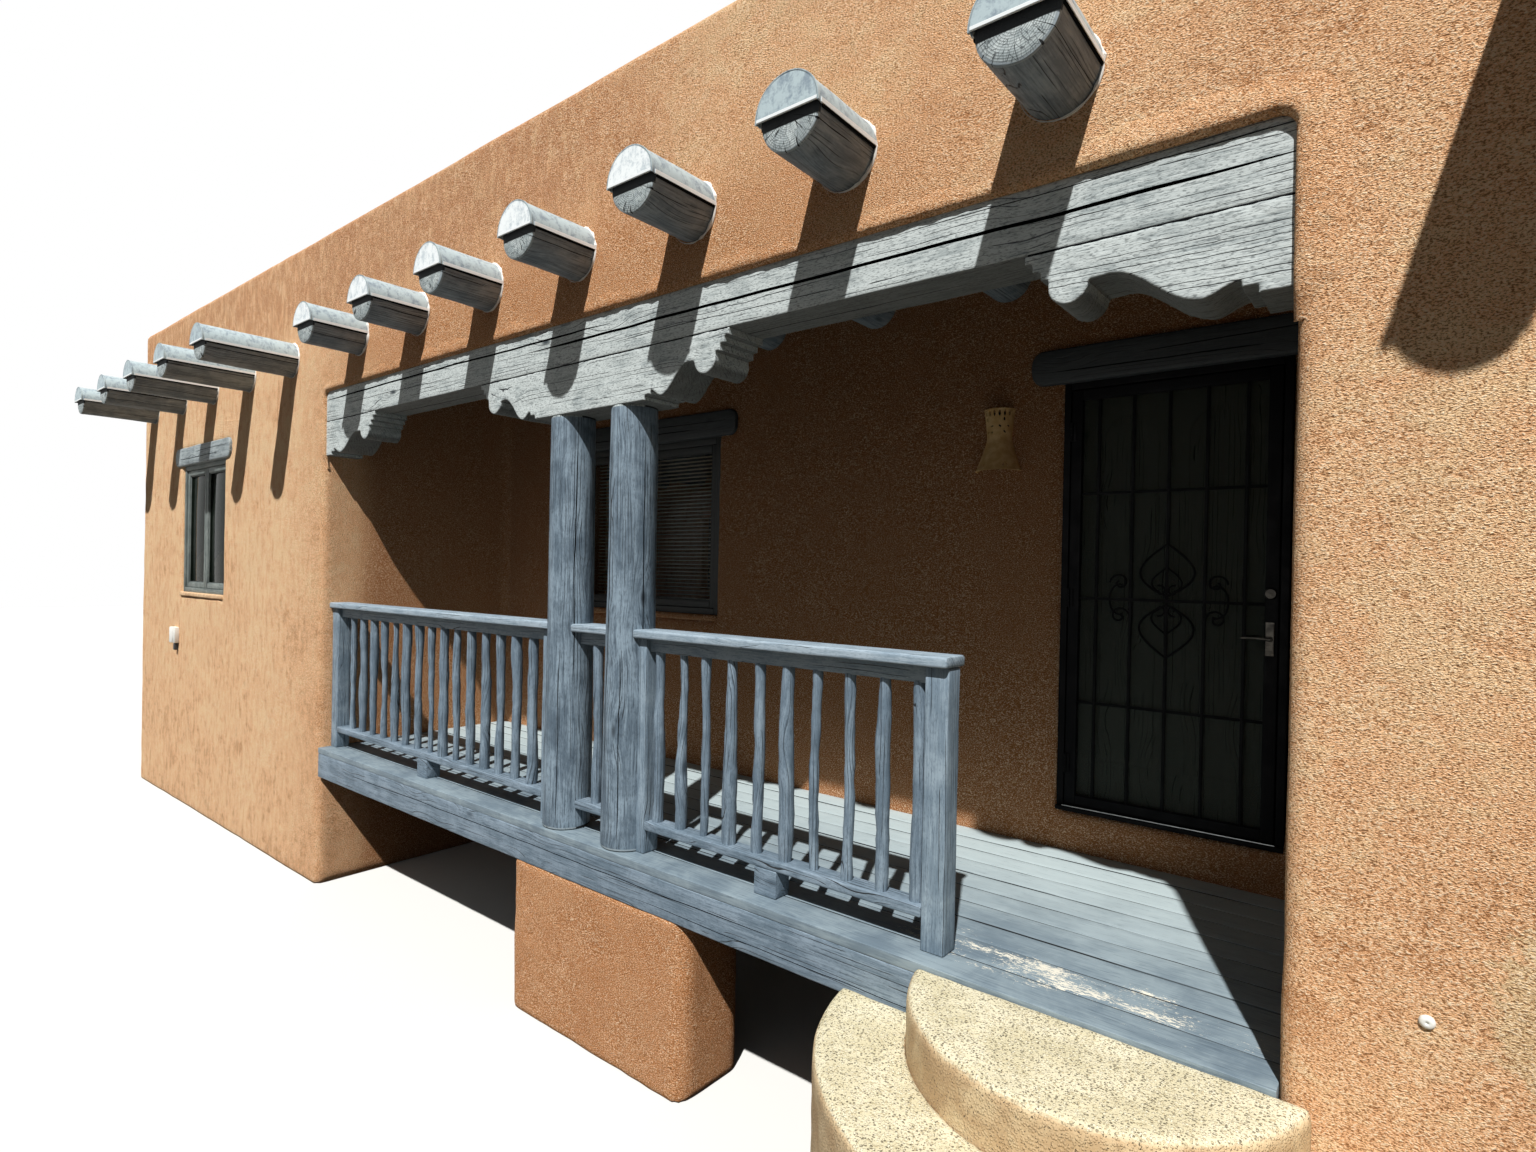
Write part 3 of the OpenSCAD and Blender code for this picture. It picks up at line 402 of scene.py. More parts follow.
def coat(shader, colour, height, depth, dull=None):
    """Gives a shader its colour, bumps whose height from 0 to 1 stands for depth metres, and its dullness."""
    tree = shader.id_data
    tree.links.new(colour, shader.inputs["Base Color"])
    bump = add(tree, "ShaderNodeBump", {"Height": height, "Distance": depth, "Strength": 1.0})
    tree.links.new(bump.outputs[0], shader.inputs["Normal"])
    if dull is not None:
        tree.links.new(dull, shader.inputs["Roughness"])


def porch_shade_mask(x, y):
    """1 under the porch roof and 0 outside it; it marks where shade is painted into a colour."""
    deep = portion((y, FACADE + 0.1, FACADE + 0.5))
    for side, middle, half in ((x, 0.0, PORCH_R + 0.1), (y, FACADE + 0.9, 0.9)):
        near = add(x.id_data, "ShaderNodeMath", {0: side, 1: middle, 2: half}, operation="COMPARE")
        deep = portion(deep, near)
    return deep


# %% [markdown]
# Sand-float stucco is cement or mud plaster, rubbed with a float while wet. The sand drags short
# level ridges, about 4 mm high and 6 mm long, and the wall dries in blotches. Rain has rinsed the
# left flank paler in runs and left the parapet darker, and an old patch shows near the corner.
# Under the porch roof the colour is pulled to a deep dark brown: painted shade. The hollows between
# the ridges are painted darker and their crests paler: painted shade and painted highlight. Stucco
# is fully matt.

# %% Stucco
OLD_PATCH = (3.55, FACADE, 1.34)


def stucco_finish(name, main, pale, dark):
    material, shader, place = finish(name, 0.92, Specular_IOR_Level=0.1)
    tree = material.node_tree
    level = add(tree, "ShaderNodeMapping", {"Vector": place, "Scale": (0.55, 0.55, 1.0)})
    blotch = spots(place, 0.5, 4.0, 0.6, 0.4)
    patch = spots(level, 0.06, 5.0, 0.7, 0.6)
    worms = spots(level, 0.0035, 2.0, 0.6, 0.4)
    sand = spots(place, 0.003, 1.0)
    streak = spots(place, 0.055, 5.0, 0.7, 0.5, along="z", drawn=3.0)
    x, y, z = add(tree, "ShaderNodeSeparateXYZ", {"Vector": place}).outputs
    far_left = portion((x, -2.4, -4.0))
    washed = add(tree, "ShaderNodeMath", {0: far_left, 1: 0.45, 2: 0.15}, operation="MULTIPLY_ADD")
    flow = add(tree, "ShaderNodeMath", {0: sums((streak, 1.0), (far_left, 0.08)), 1: 0.5},
               operation="SUBTRACT")
    flow = portion(flow, washed)
    low = portion((z, 0.3, 2.1, -0.06, 0.0))
    tone = sums((blotch, 0.5), (patch, 0.45), (flow, 1.0), (low, 1.0))
    colour = wash(dark, main, (tone, 0.32, 0.46))
    colour = wash(colour, pale, (tone, 0.44, 0.62, 0.0, 0.9))
    colour = wash(colour, "#ffdcae", (spots(level, 0.11, 2.0, 0.6, 0.8), 0.6, 0.74, 0.0, 0.5))
    rinsed = portion((streak, 0.38, 0.68, 0.1, 0.55), far_left, (z, 4.3, 3.3))
    colour = wash(colour, "#ffd7a8", rinsed)
    over_beam = portion((z, 4.3, 3.7), (x, 2.6, 0.8, 0.0, 0.75), (x, -3.2, -1.8))
    colour = wash(colour, "#c9844f", over_beam)
    parapet = portion((z, 3.8, 4.2, 0.0, 0.8), (x, 1.2, -0.4), (streak, 0.64, 0.44, 0.3, 1.0))
    colour = wash(colour, "#ca895b", parapet)
    colour = wash(colour, "#c98d60", (streak, 0.5, 0.34, 0.0, 0.25), far_left)
    spot = add(tree, "ShaderNodeVectorMath", {0: place, 1: OLD_PATCH}, operation="DISTANCE")
    ragged = sums((spot.outputs["Value"], 1.0), (patch, 0.35), (blotch, 0.2))
    colour = wash(colour, "#ecd0a0", (ragged, 0.54, 0.5, 0.0, 0.7))
    # Under the porch roof the stucco is pulled to a deep brown: painted shade.
    colour = wash(colour, "#a1663a", (porch_shade_mask(x, y), 0.0, 1.0, 0.0, 0.85))
    wear = add(tree, "ShaderNodeAttribute", attribute_name="wear").outputs["Fac"]
    # Paler arrises: part wear and part painted highlight.
    colour = wash(colour, "#f8dab6", (wear, 0.0, 0.35))
    # Hollows between the sand ridges are painted darker and their crests paler: painted shade and painted
    # highlight.
    colour = wash(colour, "#8c5a31", (worms, 0.5, 0.36), (far_left, 0.0, 1.0, 0.85, 0.2))
    colour = wash(colour, "#ffe6c4", (worms, 0.52, 0.66, 0.0, 0.85))
    coat(shader, colour, sums((worms, 1.0), (sand, 0.25), (patch, 0.5)), 0.011)
    return material


STUCCO = stucco_finish("sand_float_stucco", "#f8bf8d", "#ffd6a4", "#d99c6b")
SILL_STUCCO = stucco_finish("trowelled_sill_stucco", "#e3b78c", "#f2d3ae", "#cda077")

# %% [markdown]
# The timber is pine with an old coat of blue-grey paint or stain. It dries along the grain, so
# paint thins on the ridges and silver wood shows, while rain leaves dark lines in the checks.
# Undersides are painted darker, and frames and lintels under the porch roof are painted nearly
# black: painted shade.

# %% Painted and weathered timber
# Near black: the inside of open checks, part dirt and part painted shade, and strips and plates that stand
# only for shadow in gaps: painted shadow.
CHECK_AND_SHADOW_BLACK = finish("dark_open_check", 0.9, Base_Color="#17191b", Specular_IOR_Level=0.0)[0]


def facing_up(tree):
    """1 on a level top, 0 on a wall and -1 on an underside."""
    normal = add(tree, "ShaderNodeNewGeometry").outputs["True Normal"]
    return add(tree, "ShaderNodeSeparateXYZ", {"Vector": normal}).outputs["Z"]


def timber_finish(name, along, paint, silver, dark, worn=0.5, grain=0.006, depth=0.002, drawn=22.0,
                  fleck=0.35, under=0.0, painted_porch_shade=False):
    """Weathered paint on wood whose grain runs along one axis; worn is the share of bare wood."""
    material, shader, place = finish(name, 0.66, Specular_IOR_Level=0.35)
    tree = material.node_tree
    lengthwise = [2.6 if axis == along else 1.0 for axis in "xyz"]
    drawn_out = add(tree, "ShaderNodeVectorMath", {0: place, 1: lengthwise}, operation="DIVIDE")
    knots = add(tree, "ShaderNodeTexVoronoi", {"Vector": drawn_out, "Scale": 1 / 0.17}).outputs["Distance"]
    knot = portion((knots, 0.13, 0.02))
    swirl = portion((knots, 0.5, 0.05))
    run = add(tree, "ShaderNodeVectorMath", {0: swirl, 1: (0.02, 0.02, 0.02), 2: place},
              operation="MULTIPLY_ADD")
    fine = spots(run, grain, 3.0, 0.6, along=along, drawn=drawn)
    broad = spots(run, grain * 5, 3.0, 0.6, along=along, drawn=drawn * 0.6)
    short = spots(run, grain * 0.7, 2.0, 0.6, along=along, drawn=4.0)
    cloud = spots(place, 0.16, 4.0, 0.65, 0.5)
    bare = sums((fine, 0.45), (broad, 0.35), (cloud, 0.5))
    edge = 0.95 - 0.6 * worn
    colour = wash(paint, silver, (bare, edge - 0.16, edge + 0.12))
    colour = wash(colour, dark, (fine, 0.42, 0.3, 0.0, 0.55))
    colour = wash(colour, dark, (short, 0.5, 0.34, 0.0, fleck))
    colour = wash(colour, dark, knot)
    across = [float(axis != along) for axis in "xyz"]
    side = add(tree, "ShaderNodeVectorMath", {0: run, 1: across}, operation="DOT_PRODUCT").outputs["Value"]
    wander = spots(place, 0.25, 2.0, along=along, drawn=12.0)
    rows = sums((side, 1 / 0.02), (wander, 3.0), (broad, 0.7))
    row = add(tree, "ShaderNodeMath", {0: rows, 1: 0.5}, operation="PINGPONG")
    there = portion((spots(run, 0.04, 2.0, along=along, drawn=12.0), 0.5, 0.56))
    split = portion((row, 0.075, 0.03), there)
    colour = wash(colour, "#1d2124", split)
    # Undersides are darkened towards brown, as much as under says: painted shade.
    colour = wash(colour, "#2f2b26", (facing_up(tree), -0.2, -0.7, 0.0, under))
    # Under the porch roof the colour is pulled nearly to black: painted shade.
    if painted_porch_shade:
        x, y, _ = add(tree, "ShaderNodeSeparateXYZ", {"Vector": place}).outputs
        colour = wash(colour, "#0b0c0d", (porch_shade_mask(x, y), 0.0, 1.0, 0.0, 0.93))
    height = sums((fine, 0.5), (broad, 0.4), (short, 0.3), (split, -1.2), (knot, 0.3), (cloud, 0.15))
    coat(shader, colour, height, depth)
    return material


BEAM_WOOD = timber_finish("weathered_beam_pine", "x", "#8b9595", "#c9d0cd", "#353d41", 0.6, fleck=0.6,
                          under=0.75)
LINTEL_X = timber_finish("weathered_lintel_pine", "x", "#6f797c", "#a3acad", "#363e42", 0.5,
                         painted_porch_shade=True)
LINTEL_Y = timber_finish("weathered_side_lintel_pine", "y", "#6f797c", "#a3acad", "#363e42", 0.5)
LOG_WOOD = timber_finish("weathered_log_pine", "y", "#626d75", "#8d979c", "#3e474d", 0.45, fleck=0.15)
POST_WOOD = timber_finish("painted_log_posts", "z", "#52616d", "#8899a5", "#232c34", 0.45, 0.008)
SAPLING_WOOD = timber_finish("painted_saplings", "z", "#5d6d7a", "#8797a3", "#38444e", 0.4, 0.005)
RAIL_WOOD = timber_finish("painted_rail_boards", "x", "#7e8f9b", "#a2b0b9", "#566570", 0.5, 0.006, 0.0012,
                          under=0.6)
SQUARE_WOOD = timber_finish("painted_square_posts", "z", "#6d7e8b", "#93a3ae", "#475560", 0.42, 0.006,
                            0.0012)
RIM_WOOD = timber_finish("painted_rim_boards", "x", "#5f6f7b", "#8594a0", "#3d4a55", 0.45, 0.006, 0.0014)
JOIST_WOOD = timber_finish("rough_joists", "y", "#5d6a73", "#7d8990", "#3c454c", 0.5)
CEILING_WOOD = timber_finish("painted_ceiling_boards", "x", "#6d7780", "#8d969c", "#454d54", 0.4)
print("finishes so far:", len(bpy.data.materials))

# %% [markdown]
# ## One skin of stucco
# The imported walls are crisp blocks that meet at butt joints. A plasterer's wall is one skin: it
# runs round every corner, sags a little and thickens into soft lips. A voxel remesh melts the
# joined blocks into such a skin. Plugs close the pockets for logs, lintels and beam first, so that
# the skin stays whole behind the timber.

# %% Walls and plugs in one mesh
VOXEL = 0.03
WALLS = [
    "left_front_wall", "right_front_wall", "porch_head_wall", "left_porch_wall",
    "right_porch_wall", "porch_back_wall", "door_pier", "door_head_wall", "door_footing",
    "left_side_wall", "right_side_wall", "back_wall",
]


def plug(low, high):
    """A plain block for the melt."""
    for vert in bmesh.ops.create_cube(walls, size=1.0)["verts"]:
        vert.co = Vector(h if c > 0 else l for c, l, h in zip(vert.co, low, high))


walls = bmesh.new()
for node in WALLS:
    part = bmesh.new()
    part.from_mesh(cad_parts[node].data)
    bmesh.ops.remove_doubles(part, verts=part.verts, dist=1e-5)
    copy = bpy.data.meshes.new("copy")
    part.to_mesh(copy)
    walls.from_mesh(copy)
    part.free()
    bpy.data.meshes.remove(copy)

INSET, LINTEL_INSET, POCKET = 0.012, 0.034, 0.25
for log_set in ("porch_vigas", "left_vigas", "right_vigas"):
    for low, high in solid_boxes(log_set):
        for y in (FACADE, BACK - WALL_T):
            plug((low[0] - INSET, y + INSET, low[2] - INSET),
                 (high[0] + INSET, y + WALL_T - INSET, high[2] + INSET))
        if log_set == "porch_vigas":
            plug((low[0] - INSET, PORCH_BACK + INSET, low[2] - INSET),
                 (high[0] + INSET, PORCH_BACK + WALL_T - INSET, high[2] + INSET))
for low, high in solid_boxes("wooden_lintels"):
    plug(low + LINTEL_INSET, high - LINTEL_INSET)
for edge, out in ((PORCH_L, -1), (PORCH_R, 1)):
    xs = sorted((edge, edge + out * POCKET))
    low_z = node_box("post_bracket")[0][2]
    plug((xs[0], FACADE + INSET, low_z - INSET), (xs[1], FACADE + WALL_T, BEAM_HIGH[2] + INSET))

# %% The melt
wall_mesh = bpy.data.meshes.new("stucco_walls")
walls.to_mesh(wall_mesh)
walls.free()
stucco = bpy.data.objects.new("stucco_walls", wall_mesh)
scene.collection.objects.link(stucco)


def evaluated(piece):
    """Turns a piece's modifiers into its plain mesh."""
    made = bpy.data.meshes.new_from_object(piece.evaluated_get(bpy.context.evaluated_depsgraph_get()))
    piece.modifiers.clear()
    old, piece.data = piece.data, made
    bpy.data.meshes.remove(old)
    made.name = piece.name
    return made


melt = stucco.modifiers.new("melt", "REMESH")
melt.mode, melt.voxel_size, melt.adaptivity = "VOXEL", VOXEL, 0.0
soften = stucco.modifiers.new("soften", "SMOOTH")
soften.factor, soften.iterations = 0.5, 2
evaluated(stucco)
print("after the melt:", len(stucco.data.vertices), "points")

# %% [markdown]
# The skin is then moved a few millimetres in and out along its normals, as a hand-applied coat is.
# Two sizes of lump do it: long waves as wide as an arm's sweep, and short ones a hand across.

# %% Hand-laid waviness
ARM_WAVE, HAND_WAVE = 0.004, 0.0022
points, normals = points_of(stucco.data)
rise = ARM_WAVE * lumps(points, 0.6, 1) + HAND_WAVE * lumps(points, 0.16, 2)
x, y, z = points.T
rooms_y, rooms_top = BACK - WALL_T + 0.005, node_box("roof_deck")[1][2]
in_rooms = (np.abs(x) < cad_high[0] - WALL_T) & (y < rooms_y) & (z < rooms_top)
behind = np.where(np.abs(x) < PORCH_R + WALL_T - 0.005, PORCH_BACK + WALL_T - 0.005,
                  FACADE + WALL_T - 0.005)
hidden = in_rooms & (y > behind)
shown = ~hidden
points += normals * np.where(shown, rise, 0.0)[:, None]
move_points(stucco.data, points)

plain = stucco.vertex_groups.new(name="plain")
plain.add(np.flatnonzero(hidden).tolist(), 1.0, "REPLACE")
WALL_TRIANGLES = 190_000
stucco.data.calc_loop_triangles()
thin = stucco.modifiers.new("thin", "DECIMATE")
thin.ratio = WALL_TRIANGLES / len(stucco.data.loop_triangles)
thin.vertex_group, thin.vertex_group_factor = "plain", 2.0
evaluated(stucco)

# %% Worn and highlighted arrises
edges = np.empty(len(stucco.data.edges) * 2, np.int32)
stucco.data.edges.foreach_get("vertices", edges)
edges = edges.reshape(-1, 2)
points, normals = points_of(stucco.data)
bend = np.zeros(len(points))
for a, b in (edges.T, edges.T[::-1]):
    step = points[b] - points[a]
    length = np.linalg.norm(step, axis=1) + 1e-9
    np.add.at(bend, a, -np.einsum("ij,ij->i", step, normals[a]) / length)
count = np.bincount(edges.ravel(), minlength=len(points))
bend = bend / np.maximum(count, 1)
# Convex arrises are made paler in the stucco colour: part wear and part painted highlight.
wear = np.clip((bend - 0.1) * 1.6, 0, 0.5) * (0.6 + 0.4 * lumps(points, 0.12, 5))
worn = stucco.data.attributes.new("wear", "FLOAT", "POINT")
worn.data.foreach_set("value", wear.astype(np.float32))
stucco.data.materials.clear()
stucco.data.materials.append(STUCCO)
stucco.data.shade_smooth()
settle(stucco, "stucco", *WALLS)

# %% [markdown]
# Round the carved beam the plaster ends in a thick hand-rolled lip. It stands out a finger's
# width, throws a dark line on the beam, turns at both ends in a round corner and runs down beside
# the brackets to their feet.

# %% Lip round the beam
LIP = np.array([(0.03, -0.004), (0.006, -0.004), (-0.004, 0.004), (-0.009, 0.014), (-0.009, 0.03),
                (-0.003, 0.07), (0.004, 0.1), (0.012, 0.13), (0.03, 0.13)])
LIP_TURN = 0.05
lip_top, lip_foot = BEAM_HIGH[2], node_box("post_bracket")[0][2] - 0.09
bend = np.linspace(0, math.pi / 2, 8)[1:-1]
climb = [(PORCH_L, z, -1, 0) for z in np.linspace(lip_foot, lip_top - LIP_TURN, 32)]
climb += [(PORCH_L + LIP_TURN * (1 - math.cos(t)), lip_top - LIP_TURN * (1 - math.sin(t)),
           -math.cos(t), math.sin(t)) for t in bend]
path = climb + [(x, lip_top, 0, 1) for x in np.linspace(PORCH_L + LIP_TURN, PORCH_R - LIP_TURN, 420)]
path += [(-x, z, -out_x, out_z) for x, z, out_x, out_z in climb[::-1]]
rings = []
for k, (x, z, out_x, out_z) in enumerate(path):
    place = np.array([x, 0.0, z])
    fuller = np.clip((x - PORCH_R + 0.6) / 0.6, 0, 1)
    swell = 0.4 * lumps(place, 0.35, 11) + 0.35 * lumps(place, 0.09, 12) + 0.8 * fuller
    end = min(1, k / 7, (len(path) - 1 - k) / 7)
    deep = LIP[:, 0] + np.where(LIP[:, 0] < 0.02, 0.03 * (1 - end) - 0.008 * (swell - 0.5), 0)
    ring = np.stack([x + out_x * LIP[:, 1], FACADE + deep, z + out_z * LIP[:, 1]], 1)
    ring[2:-2, 1] -= 0.0035 * lumps(ring[2:-2], 0.03, 13)
    rings.append(ring)
furnish("stucco_lip", [loft(rings)], [STUCCO], "stucco", sharp=70)

# %% [markdown]
# ## Peeled logs with drying checks
# A peeled log shrinks as it dries and opens in long checks that run with the grain. The loft
# keeps three columns of points for each check: its two lips and its bottom. The columns follow the
# check as it wanders, so a narrow crack stays sharp in a mesh of few faces.

# %% The rings of a log
def log_rings(stations, radius, cracks, seed, columns=44, rough=0.0025):
    """Angles and radii, one row per station along the log; a crack is angle, start, end, width, depth."""
    stations = np.asarray(stations, float)
    radius = np.broadcast_to(radius, stations.shape)
    cracks = sorted(cracks)
    line = np.stack([stations, 0 * stations, 0 * stations], 1)
    lips = []
    for k, (angle, start, end, width, depth) in enumerate(cracks):
        taper = 0.16 * (end - start) + 1e-6
        open_share = np.clip(np.minimum(stations - start, end - stations) / taper, 0, 1) ** 0.6
        middle = angle + 0.05 * lumps(line, 0.35, seed + k) + 0.02 * lumps(line, 0.09, seed - k)
        half = 0.5 * width * open_share / radius + 0.0015
        lips.append((middle, half, depth * open_share))
    angles, sinks = [], []
    share = max(2, columns // max(1, len(cracks)))
    for k, (middle, half, depth) in enumerate(lips):
        after = lips[(k + 1) % len(lips)]
        gap_end = after[0] - after[1] + (2 * np.pi if k == len(lips) - 1 else 0)
        angles += [middle - half, middle, middle + half]
        sinks += [0 * depth, depth, 0 * depth]
        for i in range(1, share):
            angles.append(middle + half + (gap_end - middle - half) * i / share)
            sinks.append(0 * depth)
    angles, sinks = np.stack(angles, 1), np.stack(sinks, 1)
    around = np.stack([np.cos(angles) * 0.125, np.sin(angles) * 0.125,
                       0.25 * stations[:, None] + 0 * angles], -1)
    small, large = lumps(around, 0.05, seed + 40), lumps(around, 0.16, seed + 41)
    radii = radius[:, None] + rough * small + 2 * rough * large
    return angles, radii - sinks, sinks


def log_part(axis, centre, stations, radius, cracks, seed, end_mat=1, columns=44, rough=0.0025):
    """A whole log: its flank, and end grain whose checks run in towards the heart."""
    angles, radii, sinks = log_rings(stations, radius, cracks, seed, columns, rough)
    first, last = stations[0], stations[-1]
    way = 1 if last > first else -1
    ends = ((0.12, 0), (0.4, 0), (0.7, 0), (0.93, 0.001), (0.985, 0.004))
    front = [(angles[0], radii[0] * f, first + way * push, f) for f, push in ends]
    back = [(angles[-1], radii[-1] * f, last - way * push, f) for f, push in ends[::-1]]
    body = [(angles[i], radii[i], np.full(angles.shape[1], s), 1.0) for i, s in enumerate(stations)]
    body[0] = (angles[0], radii[0], np.full(angles.shape[1], first + way * 0.012), 1.0)
    body[-1] = (angles[-1], radii[-1], np.full(angles.shape[1], last - way * 0.012), 1.0)
    rings, sections = [], []
    deepest = np.maximum(sinks.max(0), 1e-9)
    for rows_of, sign in ((front, way), (body, 0), (back, -way)):
        for ring_angles, ring_radii, along, f in rows_of:
            depth_share = deepest / 0.03 if sign else 0
            along = along + sign * 0.018 * np.minimum(1, depth_share) * (0.35 + 0.65 * f)
            a, b = ring_radii * np.cos(ring_angles), ring_radii * np.sin(ring_angles)
            along = np.broadcast_to(along, a.shape)
            xyz = {"y": (centre[0] + a, along, centre[1] + b),
                   "z": (centre[0] + a, centre[1] + b, along)}[axis]
            rings.append(np.stack(xyz, -1))
            sections.append(np.stack([a, b, np.full(a.shape, seed * 0.37)], -1))
    rings = np.array(rings)
    part = loft(rings)
    n, m = rings.shape[:2]
    wall_rows = np.zeros(n - 1, int)
    wall_rows[:5] = wall_rows[-5:] = end_mat
    part["mats"] = np.concatenate([np.repeat(wall_rows, m), np.full(2 * m, end_mat)])
    heart = np.array([[0, 0, seed * 0.37]] * 2)
    part["section"] = np.concatenate([np.array(sections).reshape(-1, 3), heart])
    opened = sinks.max(0) > 0
    part["dark"] = np.concatenate([np.tile(opened | np.roll(opened, -1), n - 1), np.zeros(2 * m, bool)])
    return part


# %% [markdown]
# The sawn end of a log shows its rings and the small checks that run out from the heart. The ends
# face the weather, so they are bleached grey. Just under the cap's hem a dark band is painted on the
# end grain: the painted shadow of the cap plate.

# %% End grain
def end_grain_finish(name, main, pale, dark, paint):
    material, shader, _ = finish(name, 0.8, Specular_IOR_Level=0.25)
    tree = material.node_tree
    section = add(tree, "ShaderNodeAttribute", attribute_name="section").outputs["Vector"]
    axes = add(tree, "ShaderNodeSeparateXYZ", {"Vector": section})
    flat = add(tree, "ShaderNodeCombineXYZ", {"X": axes.outputs["X"], "Y": axes.outputs["Y"], "Z": 0.0})
    radius = add(tree, "ShaderNodeVectorMath", {0: flat}, operation="LENGTH").outputs["Value"]
    turn = add(tree, "ShaderNodeMath", {0: axes.outputs["Y"], 1: axes.outputs["X"]}, operation="ARCTAN2")
    uneven = spots(section, 0.06, 2.0)
    drift = sums((uneven, 0.012), (radius, 1.0))
    rings = add(tree, "ShaderNodeMath", {0: drift, 1: 2 * math.pi / 0.0075}, operation="MULTIPLY")
    ring = add(tree, "ShaderNodeMath", {0: rings}, operation="SINE")
    spokes_at = add(tree, "ShaderNodeCombineXYZ", {"X": turn, "Y": radius, "Z": axes.outputs["Z"]})

    def spread(round_by, out_by):
        """Rays from the heart: so many cells in a radian and so many in a metre, other ones in each log."""
        by = (round_by, out_by, 31.0)
        return add(tree, "ShaderNodeVectorMath", {0: spokes_at, 1: by}, operation="MULTIPLY").outputs[0]

    split = portion((spots(spread(9.0, 14.0), 1.0, 2.0, 0.5), 0.37, 0.33))
    cloud = spots(section, 0.045, 4.0, 0.65)
    colour = wash(main, pale, (cloud, 0.38, 0.66))
    colour = wash(colour, dark, (ring, 0.1, 1.0, 0.0, 0.6))
    colour = wash(colour, dark, (spots(spread(34.0, 22.0), 1.0, 2.0, 0.5), 0.42, 0.34, 0.0, 0.25))
    net = add(tree, "ShaderNodeTexVoronoi", {"Vector": spread(7.0, 30.0), "Scale": 1.0},
              feature="DISTANCE_TO_EDGE").outputs["Distance"]
    colour = wash(colour, "#3a4042", (net, 0.05, 0.02, 0.0, 0.75))
    colour = wash(colour, paint, (sums((radius, 1.0), (cloud, 0.03)), 0.126, 0.138))
    colour = wash(colour, "#1d2021", split)
    # A dark band just under the cap's hem: painted shadow of the cap plate.
    colour = wash(colour, "#26292b", (sums((axes.outputs["Y"], 1.0), (cloud, 0.004)), -0.031, -0.026))
    coat(shader, colour, sums((ring, 0.08), (split, -1.4), (cloud, 0.3)), 0.002)
    return material


END_GRAIN = end_grain_finish("bleached_end_grain", "#a6b0b0", "#cfd7d5", "#4a5254", "#96a1a6")

# %% The roof logs
LOG_STEP = 0.022


def along_log(low, high):
    """Stations along a roof log: close together where it shows outside, far apart inside."""
    front = np.arange(low, FACADE + 0.04, LOG_STEP)
    inside = np.linspace(FACADE + 0.1, BACK - 0.1, 12)
    back = np.arange(BACK - 0.04, high, LOG_STEP * 1.5)
    return np.concatenate([front, inside, back, [high]])


def log_cracks(draw, low, out):
    """Long checks on the sides of a log; some start at its end and some a hand behind it."""
    cracks = []
    for angle in (-2.75, -0.45, 0.9):
        angle = angle + draw.uniform(-0.3, 0.3)
        start = low - 0.1 if draw.random() < 0.55 else low + draw.uniform(0.02, 0.3) * out
        end = low + out * draw.uniform(0.55, 1.5)
        cracks.append((angle, start, end, draw.uniform(0.0015, 0.0045), draw.uniform(0.012, 0.028)))
    return cracks


draw = np.random.default_rng(7)
for log_set, seed in zip(LOG_SETS, (100, 200, 300)):
    parts = []
    for i, (low, high) in enumerate(solid_boxes(log_set)):
        middle, r = (low + high) / 2, (high[0] - low[0]) / 2 - 0.003
        out = FACADE - low[1]
        parts.append(log_part("y", (middle[0], middle[2]), along_log(low[1], high[1]), r,
                              log_cracks(draw, low[1], out), seed + i))
    furnish(log_set.replace("vigas", "roof_logs"), parts, [LOG_WOOD, END_GRAIN], "painted_timber", log_set,
            sharp=32)

# %% [markdown]
# A ragged bead of caulk closes the ring between each log and the stucco. It is a torus whose
# thickness wanders, pressed half into the wall.

# %% Caulk beads
CAULK = finish("weathered_caulk", 0.7, Base_Color="#efece5")[0]
beads = []
for log_set in LOG_SETS:
    for low, high in solid_boxes(log_set):
        middle, r = (low + high) / 2, (high[0] - low[0]) / 2
        for y in (FACADE, BACK):
            rings = []
            for t in np.linspace(0, 2 * np.pi, 49)[:-1]:
                here = np.array([middle[0] + r * math.cos(t), y, middle[2] + r * math.sin(t)])
                fat = 0.006 + 0.005 * lumps(here, 0.03, 9) + 0.004 * lumps(here, 0.011, 10)
                fat = max(0.001, fat * (0.7 + 0.6 * math.cos(t - 0.4)))
                across = 2 * np.pi * np.arange(6) / 6
                rr = r + 0.002 + fat * np.cos(across)
                yy = y + fat * np.sin(across)
                rings.append(np.stack([middle[0] + rr * math.cos(t), yy, middle[2] + rr * math.sin(t)],
                                      -1))
            rings = np.array(rings)
            n, m = rings.shape[:2]
            faces = [(a * m + k, a * m + (k + 1) % m, ((a + 1) % n) * m + (k + 1) % m,
                      ((a + 1) % n) * m + k)
                     for a in range(n) for k in range(m)]
            beads.append({"verts": rings.reshape(-1, 3), "faces": faces,
                          "mats": np.zeros(len(faces), int)})
furnish("caulk_beads", beads, [CAULK], "sill_stucco", sharp=38)

# %% [markdown]
# ## Sheet metal caps
# A half round cap of painted steel sheet keeps rain off each log. Its front plate is a half disc
# that stands a finger's width before the end grain, with a folded hem along its lower edge, and
# the sheet behind it wraps the upper half of the log back to the wall. The front plates over the
# left part of the porch are painted nearly white: painted sunlight.

